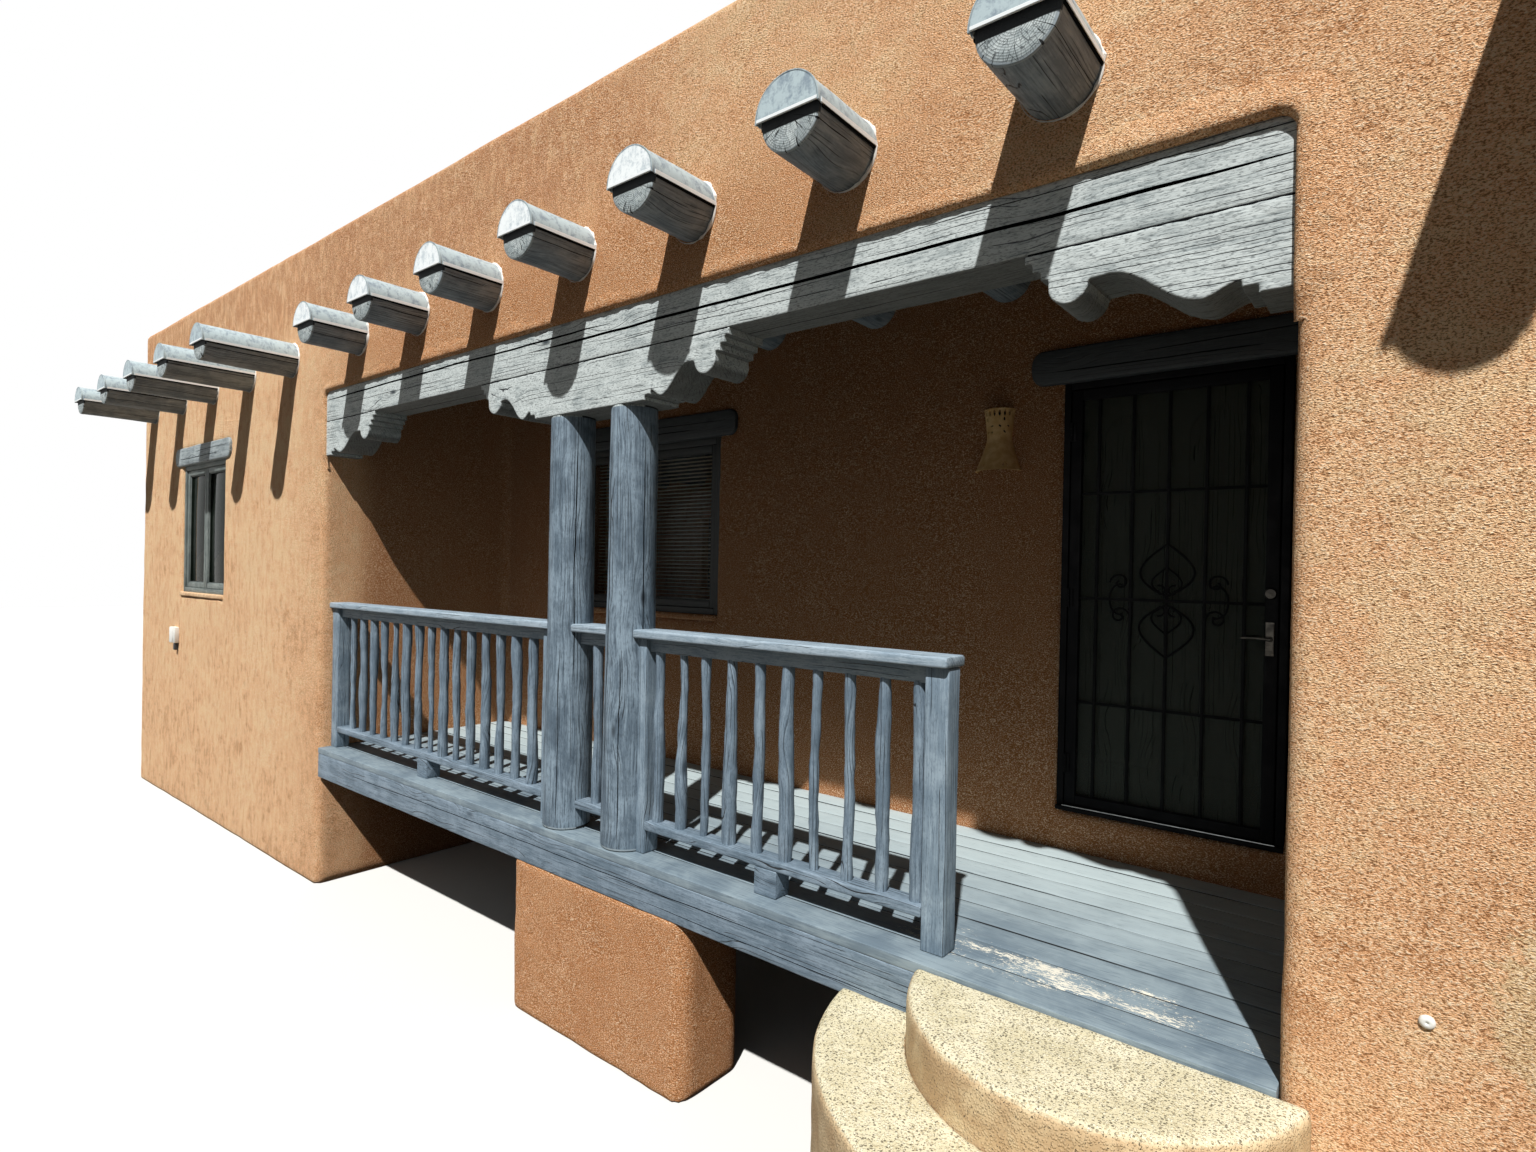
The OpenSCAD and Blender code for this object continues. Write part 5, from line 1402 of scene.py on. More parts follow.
# %% Exposed aggregate
def aggregate_finish():
    material, shader, place = finish("exposed_aggregate_concrete", 0.85, Specular_IOR_Level=0.3)
    tree = material.node_tree
    stones = add(tree, "ShaderNodeTexVoronoi", {"Vector": place, "Scale": 1 / 0.008, "Randomness": 1.0})
    pick = add(tree, "ShaderNodeSeparateColor", {0: stones.outputs["Color"]})
    body = portion((stones.outputs["Distance"], 0.52, 0.3))
    paste = spots(place, 0.006, 3.0, 0.7)
    cloud = spots(place, 0.18, 4.0, 0.65, 0.4)
    tread = portion((facing_up(tree), 0.45, 0.85, 0.12, 1.0))
    clear = portion((cloud, 0.36, 0.66))
    colour = wash(wash("#b8976f", "#d3ba91", clear), wash("#cdc3a1", "#e0d7b9", clear), tread)
    colour = wash(colour, "#a8977a", (paste, 0.42, 0.3, 0.0, 0.5))
    stone = wash("#c0b18b", "#e7dfc5", (pick, 0.2, 0.9))
    stone = wash(stone, "#5f5644", (pick.outputs[1], 0.72, 0.76))
    colour = wash(colour, stone, (portion(body, tread), 0.0, 1.0, 0.0, 0.8))
    pit = portion((spots(place, 0.0045, 2.0), 0.37, 0.32))
    colour = wash(colour, "#574d3c", pit)
    coat(shader, colour, sums((body, 0.6), (paste, 0.4), (cloud, 0.2), (pit, -0.8)), 0.003)
    return material


AGGREGATE = aggregate_finish()
for node in ("upper_step", "lower_step"):
    settle(melted("aggregate_" + node, [node], 0.012, 2, 0.0016, 70_000, AGGREGATE), "concrete", node,
           sharp=180)

# %% [markdown]
# ## Windows
# Each window is a timber frame with two casement sashes. Frames and sashes are butt-jointed, so
# each member is its own squared timber with rounded arrises, and a small bead holds the glass. The
# windows of the other walls are the same members, turned with their wall.

# %% Frames, sashes and beads
FRAME_W, SASH_W, SASH_SET, SASH_T, BEAD = 0.042, 0.048, 0.012, 0.044, 0.009
WINDOW_X, WINDOW_Z = [timber_finish("painted_window_frames_" + along, along, "#5c6461", "#868c86",
                                    "#343b3c", 0.38,
                                    0.004, 0.0008, painted_porch_shade=True) for along in "xz"]


def window_members(low, high):
    """The members of one window, in its own frame: width along X, depth along Y, front at Y low."""
    w, d, h = high - low
    members = []

    def ring(x0, x1, z0, z1, y0, y1, face, arris):
        members.append(("z", (x0, y0, z0), (x0 + face, y1, z1), arris))
        members.append(("z", (x1 - face, y0, z0), (x1, y1, z1), arris))
        members.append(("x", (x0 + face, y0, z1 - face), (x1 - face, y1, z1), arris))
        members.append(("x", (x0 + face, y0, z0), (x1 - face, y1, z0 + face), arris))

    ring(0, w, 0, h, 0, d, FRAME_W, 0.004)
    pane = (w - 2 * FRAME_W) / 2
    for k in (0, 1):
        x0 = FRAME_W + k * pane
        gap = 0.002
        ring(x0 + gap, x0 + pane - gap, FRAME_W + gap, h - FRAME_W - gap, SASH_SET, SASH_SET + SASH_T,
             SASH_W, 0.005)
        inner = SASH_W + gap
        ring(x0 + inner - 0.001, x0 + pane - inner + 0.001,
             FRAME_W + inner - 0.001, h - FRAME_W - inner + 0.001,
             SASH_SET + 0.010, SASH_SET + 0.018, BEAD, 0.003)
    return members


IN_FRONT = ((1, 0), (0, 1))


def window_places():
    """Each window's box, the turn of its wall and how its own X and Y run in the house."""
    for low, high in solid_boxes("window_frames"):
        middle = (low + high) / 2
        if high[0] - low[0] > high[1] - low[1]:
            yield low, high, IN_FRONT if middle[1] < (FACADE + BACK) / 2 else ((-1, 0), (0, -1))
        else:
            yield low, high, ((0, 1), (-1, 0)) if middle[0] > 0 else ((0, -1), (1, 0))


def to_house(points, low, high, turn):
    """Places points of a window's own frame in its opening."""
    points = np.asarray(points, float)
    x_way, y_way = np.array(turn[0]), np.array(turn[1])
    corner = np.array([low[i] if (x_way + y_way)[i] > 0 else high[i] for i in (0, 1)])
    flat = points[:, :1] * x_way + points[:, 1:2] * y_way + corner
    return np.concatenate([flat, points[:, 2:] + low[2]], axis=1)


parts = []
for k, (low, high, turn) in enumerate(window_places()):
    size = high - low
    own = np.array([max(size[:2]), min(size[:2]), size[2]])
    for j, (along, a, b, arris) in enumerate(window_members(np.zeros(3), own)):
        part = timber(a, b, along, arris, 0.15, wave=0.0005, seed=100 + 20 * k + j, per_side=3)
        part["verts"] = to_house(part["verts"], low, high, turn)
        part["mats"] += int(along == "z")
        parts.append(part)
furnish("window_timbers", parts, [WINDOW_X, WINDOW_Z], "painted_timber", "window_frames")

# %% [markdown]
# Window glass is nearly clear, but an unlit room behind it makes it a dark mirror. Each pane is a
# thin sheet with the refractive index of soda-lime glass that lets most light straight through. The
# studio is white where a street is dark, so the mirror is turned down. Panes other than the porch's
# are painted darker and less clear, a painted shade for the unlit rooms behind them, so that a room
# does not show its far window.

# %% Panes
def glass_finish(name, tint, cover, mirror):
    material, shader, place = finish(name, 0.03, IOR=1.52, Base_Color=tint, Alpha=cover,
                                     Specular_IOR_Level=mirror)
    dust_and_sheen = portion((spots(place, 0.09, 4.0, 0.6, along="z", drawn=3.0), 0.4, 0.75, 0.015, 0.09))
    material.node_tree.links.new(dust_and_sheen, shader.inputs["Roughness"])
    return material


# The second glass is darker and less clear: painted shade of the rooms behind.
GLASS = [glass_finish("soda_lime_window_glass", "#10140f", 0.14, 0.3),
         glass_finish("dim_window_glass", "#161d17", 0.8, 0.05)]
parts = []
for low, high in solid_boxes("window_glass"):
    parts.append(timber(low, high, "z", 0.0008, 0.5, wave=0.0, per_side=2))
    parts[-1]["mats"] += int(abs(low[1] - PORCH_BACK) > 0.3 or abs(low[0]) > PORCH_R)
furnish("window_panes", parts, GLASS, "glass", "window_glass")

# %% [markdown]
# The sills are trowelled stucco over the adobe, with soft edges and uneven faces.

# %% Sills
parts = []
for k, (low, high) in enumerate(solid_boxes("window_sills")):
    along = "x" if high[0] - low[0] > high[1] - low[1] else "y"
    parts.append(timber(low, high, along, 0.012, 0.03, wave=0.002, seed=300 + k, per_side=7))
furnish("stucco_sills", parts, [SILL_STUCCO], "sill_stucco", "window_sills", sharp=60)

# %% [markdown]
# ## Slatted blinds with Geometry Nodes
# A blind is one thin, slightly cupped slat repeated down three pairs of cords. The tree takes the
# number of slats, their spacing and their tilt, and puts the slat on a line of points.

# %% The blind tree
tree, inputs = geometry_tree("blind_tree", {"Slats": 44, "Spacing": 0.024, "Tilt": 0.6})
ladder = add(tree, "GeometryNodeMeshLine", {"Count": inputs["Slats"], "Offset": (0, 0, 1)}, mode="OFFSET")
step = add(tree, "ShaderNodeCombineXYZ", {"Z": inputs["Spacing"]})
tree.links.new(step.outputs[0], ladder.inputs["Offset"])
turned = add(tree, "ShaderNodeCombineXYZ", {"X": inputs["Tilt"]})
hung = add(tree, "GeometryNodeInstanceOnPoints",
           {"Points": ladder, "Instance": inputs["Geometry"], "Rotation": turned})
end_tree(tree, inputs, hung)

# %% Enamelled slats
def blind_finish():
    material, shader, place = finish("enamelled_aluminium_slats", 0.42)
    dust_and_sheen = spots(place, 0.05, 3.0)
    coat(shader, wash("#e2ddcb", "#f4efde", (dust_and_sheen, 0.35, 0.7)), dust_and_sheen, 0.0004)
    return material


BLIND = blind_finish()
SLAT_W, SLAT_T, SLATS, HEAD_H, FOOT_H = 0.022, 0.0012, 38, 0.03, 0.014
SLAT_TILT = math.radians(-14)


def slat_mesh(width):
    """One cupped slat, with its middle at the origin."""
    across = np.linspace(-0.5, 0.5, 5)
    cup = 0.0022 * (1 - (2 * across) ** 2)
    top = np.stack([across * SLAT_W, cup + SLAT_T / 2], 1)
    bottom = np.stack([across[::-1] * SLAT_W, cup[::-1] - SLAT_T / 2], 1)
    ring = np.concatenate([top, bottom])
    rings = [np.concatenate([np.full((len(ring), 1), x), ring], 1) for x in (-width / 2, 0.0, width / 2)]
    return loft(rings)


blind_pieces = []
for k, (low, high, turn) in enumerate(window_places()):
    if turn != IN_FRONT:
        continue
    size = high - low
    w, h = size[0] - 2 * FRAME_W - 0.03, size[2] - 2 * FRAME_W - 0.015
    y = high[1] + SLAT_W + 0.015
    z0 = low[2] + FRAME_W + 0.015
    run = h - HEAD_H - FOOT_H
    centre_x = (low[0] + high[0]) / 2
    slats = build(f"blind_slats_{k}", [slat_mesh(w)], [BLIND])
    spacing = run / (SLATS + 1)
    grow(slats, tree, BLIND, Slats=SLATS, Spacing=float(spacing), Tilt=SLAT_TILT)
    slats.data.transform(Matrix.Translation((centre_x, y, z0 + FOOT_H + spacing)))
    left, right = centre_x - w / 2, centre_x + w / 2
    rails = [timber((left, y - 0.019, z0 + h - HEAD_H), (right, y + 0.019, z0 + h), "x", 0.003, 0.2,
                    wave=0.0),
             timber((left, y - 0.012, z0), (right, y + 0.012, z0 + FOOT_H), "x", 0.004, 0.2, wave=0.0)]
    for x, s in itertools.product((-0.42, 0.0, 0.42), (-0.011, 0.011)):
        cord = [(centre_x + x * w, y + s, z) for z in np.linspace(z0 + 0.01, z0 + h - 0.01, 6)]
        rails.append(tube_along(cord, 0.0009, 6))
    blind_pieces.append((slats, build(f"blind_rails_{k}", rails, [BLIND])))
for k, (slats, rails) in enumerate(blind_pieces):
    settle(slats, "blind", *(["window_blind"] if k == 1 else []), sharp=40)
    settle(rails, "blind")

# %% [markdown]
# ## Screen door and entry door
# The outer leaf is a welded steel security screen in dark bronze enamel: a tube frame, square
# bars, hammered scrolls, and fine wire mesh behind them. The five bars stand a fifth of the opening
# apart; the scrolls are drawn as curves and swept with a thin bar, as a smith bends them.

# %% Enamels and metals
def enamel_finish(name, main, worn, roughness=0.42, gloss=0.5):
    material, shader, place = finish(name, roughness, Specular_IOR_Level=gloss)
    cloud = spots(place, 0.07, 4.0, 0.6)
    speck = spots(place, 0.004, 2.0)
    coat(shader, wash(main, worn, (sums((cloud, 0.7), (speck, 0.3)), 0.42, 0.7)),
         sums((speck, 0.4), (cloud, 0.3)), 0.0005,
         portion((cloud, 0.3, 0.7, roughness - 0.08, roughness + 0.15)))
    return material


def bare_metal_finish(name, main, worn, roughness):
    material, shader, place = finish(name, roughness, Metallic=1.0)
    brush = spots(place, 0.0012, 2.0, along="x", drawn=30.0)
    cloud = spots(place, 0.03, 3.0)
    coat(shader, wash(main, worn, (cloud, 0.35, 0.7)), brush, 0.0002,
         portion((brush, 0.3, 0.7, roughness - 0.08, roughness + 0.1)))
    return material


BRONZE = enamel_finish("dark_bronze_enamel", "#030304", "#08090a", 0.6, 0.08)
# The nickel gets a near-black colour that stands for the dark porch it reflects: painted shade.
DARKENED_NICKEL = bare_metal_finish("satin_nickel", "#2e2c29", "#45423d", 0.28)
ALUMINIUM = bare_metal_finish("mill_aluminium", "#a9abaa", "#c9cac8", 0.35)
DOOR_PAINT = timber_finish("painted_entry_door", "z", "#7a8074", "#8a9084", "#5b6058", 0.3, 0.004, 0.0006)

# %% Tube frame, hinges and door frame
leaf_low = node_box("screen_door_frame")[0]
HINGE_OUT, STILE_W, LEAF_T = 0.014, 0.05, 0.03
KNUCKLE_H, KNUCKLE_R = 0.03, 0.0078
leaf_front = leaf_low[1] + HINGE_OUT
grille_low, grille_high = node_box("screen_door_grille")
clear_l, clear_r, clear_b, clear_t = grille_low[0], grille_high[0], grille_low[2], grille_high[2]
leaf_l, leaf_r = clear_l - STILE_W, clear_r + STILE_W
y0, y1 = leaf_front, leaf_front + LEAF_T
leaf_b, leaf_t = clear_b - STILE_W, clear_t + STILE_W
tubes = [(leaf_l, leaf_b, clear_l, leaf_t, "z"), (clear_r, leaf_b, leaf_r, leaf_t, "z"),
         (clear_l, clear_t, clear_r, leaf_t, "x"), (clear_l, leaf_b, clear_r, clear_b, "x")]
parts = [timber((a, y0, b), (c, y1, d), along, 0.003, 0.4, wave=0.0002, seed=k + 1)
         for k, (a, b, c, d, along) in enumerate(tubes)]
barrel_x, barrel_y = leaf_l + 0.003, leaf_low[1] + 0.008
leaf_h = clear_t - clear_b + 2 * STILE_W
for t in (0.1, 0.5, 0.9):
    z = leaf_b + leaf_h * t
    for k in range(3):
        a, b = z - 0.045 + KNUCKLE_H * k + 0.001, z - 0.045 + KNUCKLE_H * (k + 1) - 0.001
        parts.append(tube_along([(barrel_x, barrel_y, c) for c in (a, (a + b) / 2, b)], KNUCKLE_R, 16))
    parts.append(timber((barrel_x, barrel_y - 0.0005, z - 0.044),
                        (barrel_x + 0.02, barrel_y + 0.008, z + 0.044),
                        "z", 0.001, 0.1, wave=0.0))
furnish("screen_door_tubes", parts, [BRONZE], "dark_metal", "screen_door_frame", body="screen_door")

# %% [markdown]
# Two shapes fill the middle of the grille: an onion of two mirrored leaves over the middle bar and
# the same one hanging below it, and a C scroll with curled ends at each side. Each is a run of
# points from a spiral or a half-wave, swept with a bar of eight sides.

# %% Bars and scrolls
BAR = 0.013
half_bar = BAR / 2
bar_y = (grille_low[1] + grille_high[1]) / 2
mid_x, mid_z = (clear_l + clear_r) / 2, (clear_b + clear_t) / 2
pitch = (clear_r - clear_l) / 5
scroll_y = bar_y - half_bar * 0.4
ONION_R, FOOT_R, INNER_R, SCROLL_R = 0.0052, 0.0045, 0.0042, 0.0048


def square_bar(x0, x1, z0, z1, along, deep=1.0):
    """A bar between two corners in the door's plane, which runs a little way into the tubes."""
    half = half_bar * deep
    return timber((x0, bar_y - half, z0), (x1, bar_y + half, z1), along, 0.0015, 0.3, wave=0.0002,
                  per_side=2)


parts = []
for i in range(1, 6):
    x = clear_l + (i - 0.5) * pitch
    parts.append(square_bar(x - half_bar, x + half_bar, clear_b - 0.002, clear_t + 0.002, "z"))
for j in (-1, 0, 1):
    z = mid_z + j * leaf_h / 4
    parts.append(square_bar(clear_l - 0.002, clear_r + 0.002, z - half_bar, z + half_bar, "x", 0.98))


def curl(centre, r0, r1, a0, a1, n=26):
    """A spiral in the door's plane from one radius and angle to another."""
    t = np.linspace(0, 1, n)
    r, a = r0 + (r1 - r0) * t, np.radians(a0 + (a1 - a0) * t)
    return np.stack([centre[0] + r * np.cos(a), np.full(n, scroll_y), centre[1] + r * np.sin(a)], 1)


def half_onion(side, way, size=1.0):
    """One leaf of the onion: it swells out from the middle bar and closes in a point."""
    t = np.linspace(0, 1, 34)
    wide = 0.15 * size * np.sin(np.pi * np.minimum(1, t * 1.02)) ** 0.8 * (1 - 0.55 * t)
    tall = 0.02 + 0.24 * size * t ** 0.9
    run = np.stack([mid_x + side * wide, np.full(34, scroll_y), mid_z + way * tall], 1)
    turns = [a * way if side > 0 else 180 - a * way for a in (40, 40 - 330)]
    foot = curl((mid_x + side * 0.028, mid_z + way * 0.043), 0.004, 0.028, *turns, 24)
    return run, foot


for side in (-1, 1):
    for way in (-1, 1):
        run, foot = half_onion(side, way)
        parts.append(tube_along(run, ONION_R))
        parts.append(tube_along(foot, FOOT_R))
        inner, _ = half_onion(side, way, 0.55)
        parts.append(tube_along(inner, INNER_R))
    centre_x = mid_x + side * 0.213
    back = [(centre_x - side * 0.012 + side * 0.045 * math.cos(a), scroll_y, mid_z + 0.07 * math.sin(a))
            for a in np.linspace(-1.9, 1.9, 24)]
    for way in (-1, 1):
        turn = (0, 420) if side * way > 0 else (180, -240)
        parts.append(tube_along(curl((centre_x - side * 0.012, mid_z + way * 0.078), 0.044, 0.007, *turn),
                                SCROLL_R))
    parts.append(tube_along(back, SCROLL_R))
furnish("screen_door_scrolls", parts, [BRONZE], "dark_metal", "screen_door_grille", body="screen_door",
        sharp=35)

# %% [markdown]
# The wire mesh behind the bars is finer than a picture can show. It is a thin dark sheet that lets
# part of the light through, as the mesh does from a few steps away.

# %% Wire mesh, lever and bolt
WIRE_MESH = finish("dark_wire_mesh", 0.8, Alpha=0.45, Base_Color="#3d403a", Specular_IOR_Level=0.1)[0]
sheet = timber((clear_l - 0.001, bar_y + half_bar + 0.0008, clear_b - 0.001),
               (clear_r + 0.001, bar_y + half_bar + 0.0022, clear_t + 0.001),
               "z", 0.0003, 0.4, wave=0.0, per_side=2)
furnish("screen_door_mesh", [sheet], [WIRE_MESH], "dark_metal", body="screen_door", sharp=38)

parts = []
for low, high in solid_boxes("screen_door_lever"):
    if high[2] - low[2] < 0.08:
        x, z = (low[0] + high[0]) / 2, (low[2] + high[2]) / 2
        r = (high[0] - low[0]) / 2
        outs = np.linspace(0, 1, 4)
        barrel = [(x, high[1] - t * (high[1] - low[1]), z) for t in outs]
        parts.append(tube_along(barrel, r * np.array([1, 1, 0.96, 0.82]), 28))
        parts.append(tube_along([(x, low[1] + 0.004 - t * 0.002, z) for t in outs], r * 0.5, 20))
        continue
    outside = (low[1] + high[1]) / 2 < (y0 + y1) / 2
    base, tip = (high[1], low[1]) if outside else (low[1], high[1])
    way = 1 if tip > base else -1
    z = (low[2] + high[2]) / 2
    plate_x0, plate_x1 = high[0] - 0.034, high[0]
    spindle_x = (plate_x0 + plate_x1) / 2
    ys = sorted((base, base + way * 0.006))
    parts.append(timber((plate_x0, ys[0], low[2]), (plate_x1, ys[1], high[2]), "z", 0.0028, 0.05, wave=0.0,
                        round_ends=0.012))
    parts.append(tube_along([(spindle_x, base + way * t, z) for t in (0.004, 0.012, 0.02, 0.031)],
                            [0.012, 0.0095, 0.009, 0.009], 20))
    grip = [(spindle_x - t * (spindle_x - low[0] - 0.004),
             base + way * (0.0335 + 0.0015 * math.sin(math.pi * t)),
             z + 0.006 * math.sin(2.2 * t) - 0.004 * t) for t in np.linspace(0, 1, 20)]
    parts.append(tube_along([(spindle_x + 0.006, grip[0][1], z)] + grip,
                            [0.0085] + list(np.linspace(0.0082, 0.0058, 20)), 16))
furnish("screen_door_lever_set", parts, [DARKENED_NICKEL], "bright_metal", "screen_door_lever", body="screen_door")

# %% Door frame and threshold
(frame_l, nose_y, frame_b), (frame_r, frame_y1, frame_t) = node_box("door_frame")
JAMB, STOP, THRESHOLD_H = 0.032, 0.012, 0.022
stop_y0, stop_y1 = leaf_front + LEAF_T + 0.005, frame_y1 - 0.049
parts = []
jamb_l, jamb_r, head_z = frame_l + JAMB, frame_r - JAMB, frame_t - JAMB
for a, b in ((frame_l, jamb_l), (jamb_r, frame_r)):
    parts.append(timber((a, leaf_front, frame_b), (b, frame_y1, frame_t), "z", 0.003, 0.3, wave=0.0004,
                        seed=7))
for a, b in ((jamb_l - 0.001, jamb_l + STOP), (jamb_r - STOP, jamb_r + 0.001)):
    parts.append(timber((a, stop_y0, frame_b), (b, stop_y1, head_z), "z", 0.002, 0.3, wave=0.0003))
parts.append(timber((jamb_l, leaf_front, head_z), (jamb_r, frame_y1, frame_t), "x", 0.003, 0.2,
                    wave=0.0004))
parts.append(timber((jamb_l, stop_y0, head_z - STOP), (jamb_r, stop_y1, head_z + 0.001), "x", 0.002, 0.2,
                    wave=0.0003))
sill_z = frame_b + THRESHOLD_H
sill = timber((frame_l, nose_y, frame_b), (frame_r, frame_y1, sill_z), "x", 0.004, 0.2, wave=0.0003)
strip = timber((jamb_l, nose_y + 0.006, sill_z), (jamb_r, nose_y + 0.010, sill_z + 0.0035), "x", 0.001,
               0.2, wave=0.0)
strip["mats"] += 1
furnish("door_jambs_and_threshold", parts + [sill, strip], [BRONZE, ALUMINIUM], "dark_metal", "door_frame")

# %% [markdown]
# The entry door behind the screen is painted wood with two tall arched panels over two short
# ones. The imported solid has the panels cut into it, so it stays, and only its finish is new. The
# knobs belong to the same solid.

# %% Entry door
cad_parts["entry_door"].data.materials.clear()
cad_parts["entry_door"].data.materials.append(DOOR_PAINT)

# %% [markdown]
# ## Clay wall light
# The light is a thrown half pot: a flared skirt, a waist and a flared collar. Slots were cut
# through the collar and pricks through the waist while the clay was soft, and the rim is a thick
# rolled bead. The wall of the pot is a turned profile swept through half a circle, and a boolean
# cuts the slots.

# %% Unglazed clay
def clay_finish():
    material, shader, place = finish("unglazed_clay", 0.88, Specular_IOR_Level=0.25)
    throwing = spots(place, 0.004, 2.0, along="x", drawn=12.0)
    cloud = spots(place, 0.04, 4.0, 0.65)
    grit = spots(place, 0.003, 2.0)
    colour = wash("#cda368", "#e8c68e", (sums((cloud, 0.8), (grit, 0.2)), 0.38, 0.68))
    coat(shader, colour, sums((throwing, 0.4), (grit, 0.3), (cloud, 0.4)), 0.0015)
    return material


CLAY = clay_finish()

# %% The half pot
light_low, light_high = node_box("wall_light")
light_x, light_h = (light_low[0] + light_high[0]) / 2, light_high[2] - light_low[2] - 0.018
SKIRT_R, NECK_R, COLLAR_R, CLAY_T = (light_high[0] - light_low[0]) / 2 - 0.002, 0.064, 0.080, 0.008


def pot_radius(t):
    """Outer radius of the pot at a share of its height."""
    skirt = SKIRT_R + (NECK_R - SKIRT_R) * np.clip(t / 0.5, 0, 1) ** 0.92
    collar = NECK_R + (COLLAR_R - NECK_R) * np.clip((t - 0.56) / 0.44, 0, 1) ** 1.4
    return np.where(t < 0.53, skirt, collar)


shares = np.linspace(0, 1, 40)
outer = pot_radius(shares)
for swell, middle, width in ((-0.0022, 0.275, 0.01), (-0.0022, 0.30, 0.01), (0.0035, 0.012, 0.016),
                             (0.002, 0.99, 0.012)):
    outer = outer + swell * np.exp(-(((shares - middle) / width) ** 2))
profile = np.array([*zip(outer, shares), *zip(outer[::-1] - CLAY_T, shares[::-1])])
turn = np.linspace(math.pi, 2 * math.pi, 49)
rings = []
for a in turn:
    here = np.stack([profile[:, 0] * math.cos(a), profile[:, 0] * math.sin(a), profile[:, 1] * light_h], 1)
    wobble = 1 + 0.012 * lumps(here, 0.06, 70)
    rings.append(np.stack([light_x + here[:, 0] * wobble, PORCH_BACK + here[:, 1] * wobble,
                           light_low[2] + here[:, 2]], 1))
light = build("clay_wall_light", [sheet_loft(rings)], [CLAY], sharp=45)

# %% Slots and pricks
def slot_cutter(angle, share, width, height, lean=0.0):
    """A small block that points out through the clay at one angle and height."""
    out = np.array([math.cos(angle), math.sin(angle), 0.0])
    side = np.array([-math.sin(angle), math.cos(angle), 0.0])
    up = np.array([0, 0, 1.0]) + side * lean
    centre = np.array([light_x, PORCH_BACK, light_low[2] + share * light_h])
    rings = []
    for reach in (0.045, 0.14):
        turn = 2 * np.pi * (np.arange(8) + 0.5) / 8
        rings.append([centre + out * reach + side * width / 2 * math.cos(t) + up * height / 2 * math.sin(t)
                      for t in turn])
    return loft(rings)


cutters = [slot_cutter(math.pi * (1 + (k + 0.5) / 9), 0.925, 0.012, 0.032) for k in range(9)]
for angle, share, width, height, lean in (
    (0.30, 0.83, 0.011, 0.020, 0.0), (0.72, 0.83, 0.011, 0.020, 0.0), (0.18, 0.72, 0.012, 0.014, 0.5),
    (0.42, 0.72, 0.020, 0.010, 0.6), (0.62, 0.72, 0.012, 0.014, -0.5), (0.84, 0.72, 0.020, 0.010, -0.6),
    (0.30, 0.63, 0.014, 0.016, 0.5), (0.42, 0.62, 0.010, 0.012, 0.0), (0.74, 0.63, 0.014, 0.016, -0.5),
    (0.26, 0.08, 0.008, 0.022, 0.2), (0.31, 0.08, 0.008, 0.022, -0.2), (0.37, 0.08, 0.008, 0.022, 0.0),
    (0.68, 0.08, 0.008, 0.022, 0.2), (0.74, 0.08, 0.008, 0.022, -0.2),
):
    cutters.append(slot_cutter(math.pi * (1 + angle), share, width, height, lean))
knife = build("slot_knife", cutters, [CLAY])
cut = light.modifiers.new("slots", "BOOLEAN")
cut.operation, cut.object, cut.solver = "DIFFERENCE", knife, "EXACT"
evaluated(light)
bpy.data.objects.remove(knife)
settle(light, "clay", "wall_light", sharp=40)
# A near-black plate behind the pot darkens the wall seen through its slots: painted shade.
plate = timber((light_x - 0.05, PORCH_BACK - 0.012, light_low[2] + 0.05),
               (light_x + 0.05, PORCH_BACK - 0.007, light_low[2] + light_h - 0.01), "z", 0.002, 0.2,
               wave=0.0, per_side=2)
furnish("wall_light_back_plate", [plate], [CHECK_AND_SHADOW_BLACK], "dark_metal", sharp=38)

# %% [markdown]
# ## Small things on the wall
# A white plastic grommet, a little larger than a coin, covers a hole near the corner, and a small
# white sensor box hangs low on the left flank. Both are plain mouldings without marks.

# %% Grommet and sensor box
WHITE_PLASTIC = enamel_finish("weathered_white_plastic", "#e4e3dc", "#cfcdc3", 0.4)
DARK_PLASTIC = enamel_finish("dark_plastic", "#232527", "#303234", 0.5)
GROMMET_X, GROMMET_Z, GROMMET_R = 3.189, 1.265, 0.0165
profile = [(0.001, -0.004), (0.0025, -0.0042), (0.0032, -0.0075), (0.0048, -0.0085), (0.0105, -0.0075),
           (0.015, -0.0045), (GROMMET_R, 0.0), (GROMMET_R * 0.9, 0.004)]
rings = [[(GROMMET_X + r * math.cos(a), FACADE + y, GROMMET_Z + r * math.sin(a))
          for a in np.linspace(0, 2 * np.pi, 33)[:-1]] for r, y in profile]
furnish("wall_grommet", [loft(rings)], [WHITE_PLASTIC], "sill_stucco", sharp=50)

BOX_X, BOX_Z, BOX_W, BOX_H, BOX_D = -6.10, 1.50, 0.125, 0.15, 0.05
box_l, box_r = BOX_X - BOX_W / 2, BOX_X + BOX_W / 2
parts = [timber((x0, FACADE - deep, z0), (x1, FACADE + 0.004, z1), "z", arris, 0.05, wave=0.0)
         for x0, x1, deep, z0, z1, arris in (
             (box_l, box_r - 0.035, BOX_D, BOX_Z, BOX_Z + BOX_H, 0.008),
             (box_r - 0.034, box_r, BOX_D * 0.8, BOX_Z - 0.002, BOX_Z + BOX_H - 0.004, 0.005),
             (BOX_X + 0.008, BOX_X + 0.045, 0.035, BOX_Z - 0.07, BOX_Z, 0.008))]
parts[2]["mats"] += 1
furnish("sensor_box", parts, [WHITE_PLASTIC, DARK_PLASTIC], "sill_stucco", sharp=40)

# %% [markdown]
# ## Roof, spouts, ceiling and floor
# The flat roof behind the parapet is rolled roofing with mineral grit, laid in overlapping strips.
# Sheet metal spouts drain it through the back wall. Ceiling boards lie on the logs, and the rooms
# have a plain floor of fired-earth tiles.

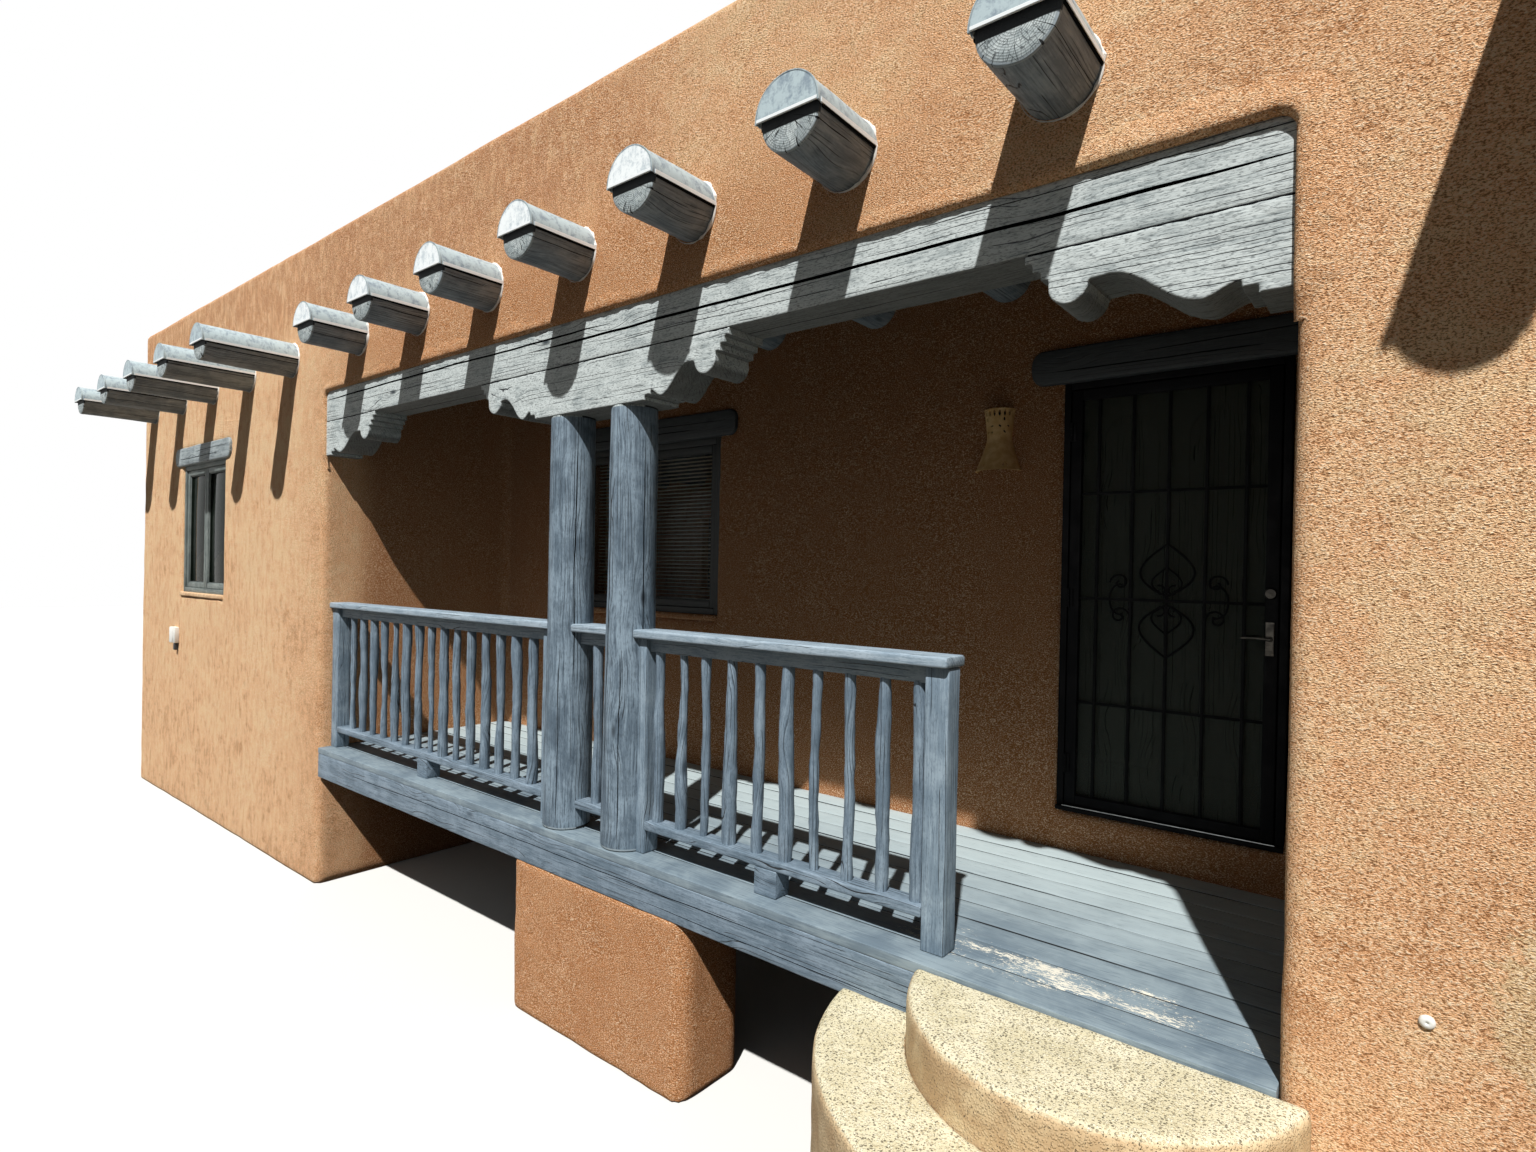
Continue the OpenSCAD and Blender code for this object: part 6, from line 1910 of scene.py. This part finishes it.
# %% Rolled roofing
def roofing_finish():
    material, shader, place = finish("mineral_rolled_roofing", 0.95, Specular_IOR_Level=0.2)
    grit = spots(place, 0.006, 3.0, 0.7)
    cloud = spots(place, 0.7, 5.0, 0.6)
    pond = spots(place, 1.6, 2.0)
    colour = wash("#928d84", "#a49f96", (sums((grit, 0.35), (cloud, 0.65)), 0.36, 0.68))
    colour = wash(colour, "#7f786c", (pond, 0.56, 0.74, 0.0, 0.3))
    coat(shader, colour, grit, 0.002)
    return material


ROOFING = roofing_finish()
roof_low, roof_high = node_box("roof_deck")
STRIP_W, LAP = 0.98, 0.06
parts = [timber(roof_low, roof_high - np.array([0, 0, 0.006]), "x", 0.004, 0.6, wave=0.0, per_side=3)]
rows = int((roof_high[1] - roof_low[1]) / (STRIP_W - LAP)) + 1
for k in range(rows):
    a = roof_low[1] + k * (STRIP_W - LAP)
    b = min(a + STRIP_W, roof_high[1])
    z = roof_high[2] - 0.007 + 0.002 * (k % 2)
    parts.append(timber((roof_low[0], a, z), (roof_high[0], b, z + 0.005), "x", 0.0015, 0.35, wave=0.0015,
                        seed=500 + k, per_side=6))
furnish("rolled_roofing", parts, [ROOFING], "roof_membrane", "roof_deck", sharp=50)

# %% Sheet metal spouts
SPOUT_METAL = enamel_finish("weathered_galvanised_sheet", "#8b9091", "#a9adab", 0.5)
parts = []
for low, high in solid_boxes("roof_spouts"):
    (x0, _, z0), (x1, _, z1), t = low, high, 0.03
    outline = [(x0, z1), (x0, z0), (x1, z0), (x1, z1), (x1 - t, z1), (x1 - t, z0 + t), (x0 + t, z0 + t),
               (x0 + t, z1)]
    parts.append(sheet_loft([[(x, y, z) for x, z in outline]
                             for y in np.linspace(low[1] + 0.002, high[1], 12)]))
spouts = build("roof_spout_troughs", parts, [SPOUT_METAL], sharp=30)
edge = spouts.modifiers.new("folded_edges", "BEVEL")
edge.width, edge.segments, edge.limit_method = 0.003, 2, "ANGLE"
evaluated(spouts)
settle(spouts, "bright_metal", "roof_spouts")

# %% Ceiling boards and floor
BOARD_W = 0.14
parts = []
ceil_low, ceil_high = node_box("ceiling_boards")
side_l, side_r = PORCH_L - WALL_T, PORCH_R + WALL_T
for y in np.arange(ceil_low[1], ceil_high[1] - 0.02, BOARD_W):
    b = min(y + BOARD_W - 0.004, ceil_high[1])
    if y + BOARD_W < PORCH_BACK:
        spans = ((ceil_low[0], side_l), (PORCH_L + 0.002, PORCH_R - 0.002), (side_r, ceil_high[0]))
    elif y < PORCH_BACK + WALL_T:
        spans = ((ceil_low[0], side_l), (side_r, ceil_high[0]))
    else:
        spans = ((ceil_low[0], ceil_high[0]),)
    for x0, x1 in spans:
        parts.append(timber((x0, y, ceil_low[2]), (x1, b, ceil_high[2]), "x", 0.003, 0.5, wave=0.0008,
                            seed=int(y * 10) + 600, per_side=3))
furnish("ceiling_planks", parts, [CEILING_WOOD], "ceiling_timber", "ceiling_boards")


def room_floor_finish():
    material, shader, place = finish("fired_earth_floor", 0.6)
    tree = material.node_tree
    tiles = add(tree, "ShaderNodeTexBrick", {
        "Vector": place, "Scale": 1.0, "Mortar Size": 0.006, "Brick Width": 0.3, "Row Height": 0.3,
        "Color1": "#8d5f45", "Color2": "#a06f52", "Mortar": "#6f6357"}, offset=0.0)
    cloud = spots(place, 0.15, 4.0)
    colour = wash(tiles.outputs["Color"], "#7b4f39", (cloud, 0.3, 0.8, 0.0, 0.4))
    coat(shader, colour, tiles.outputs["Fac"], -0.002)
    return material


ROOM_FLOOR = room_floor_finish()
for material_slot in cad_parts["house_floor"].material_slots:
    material_slot.material = ROOM_FLOOR
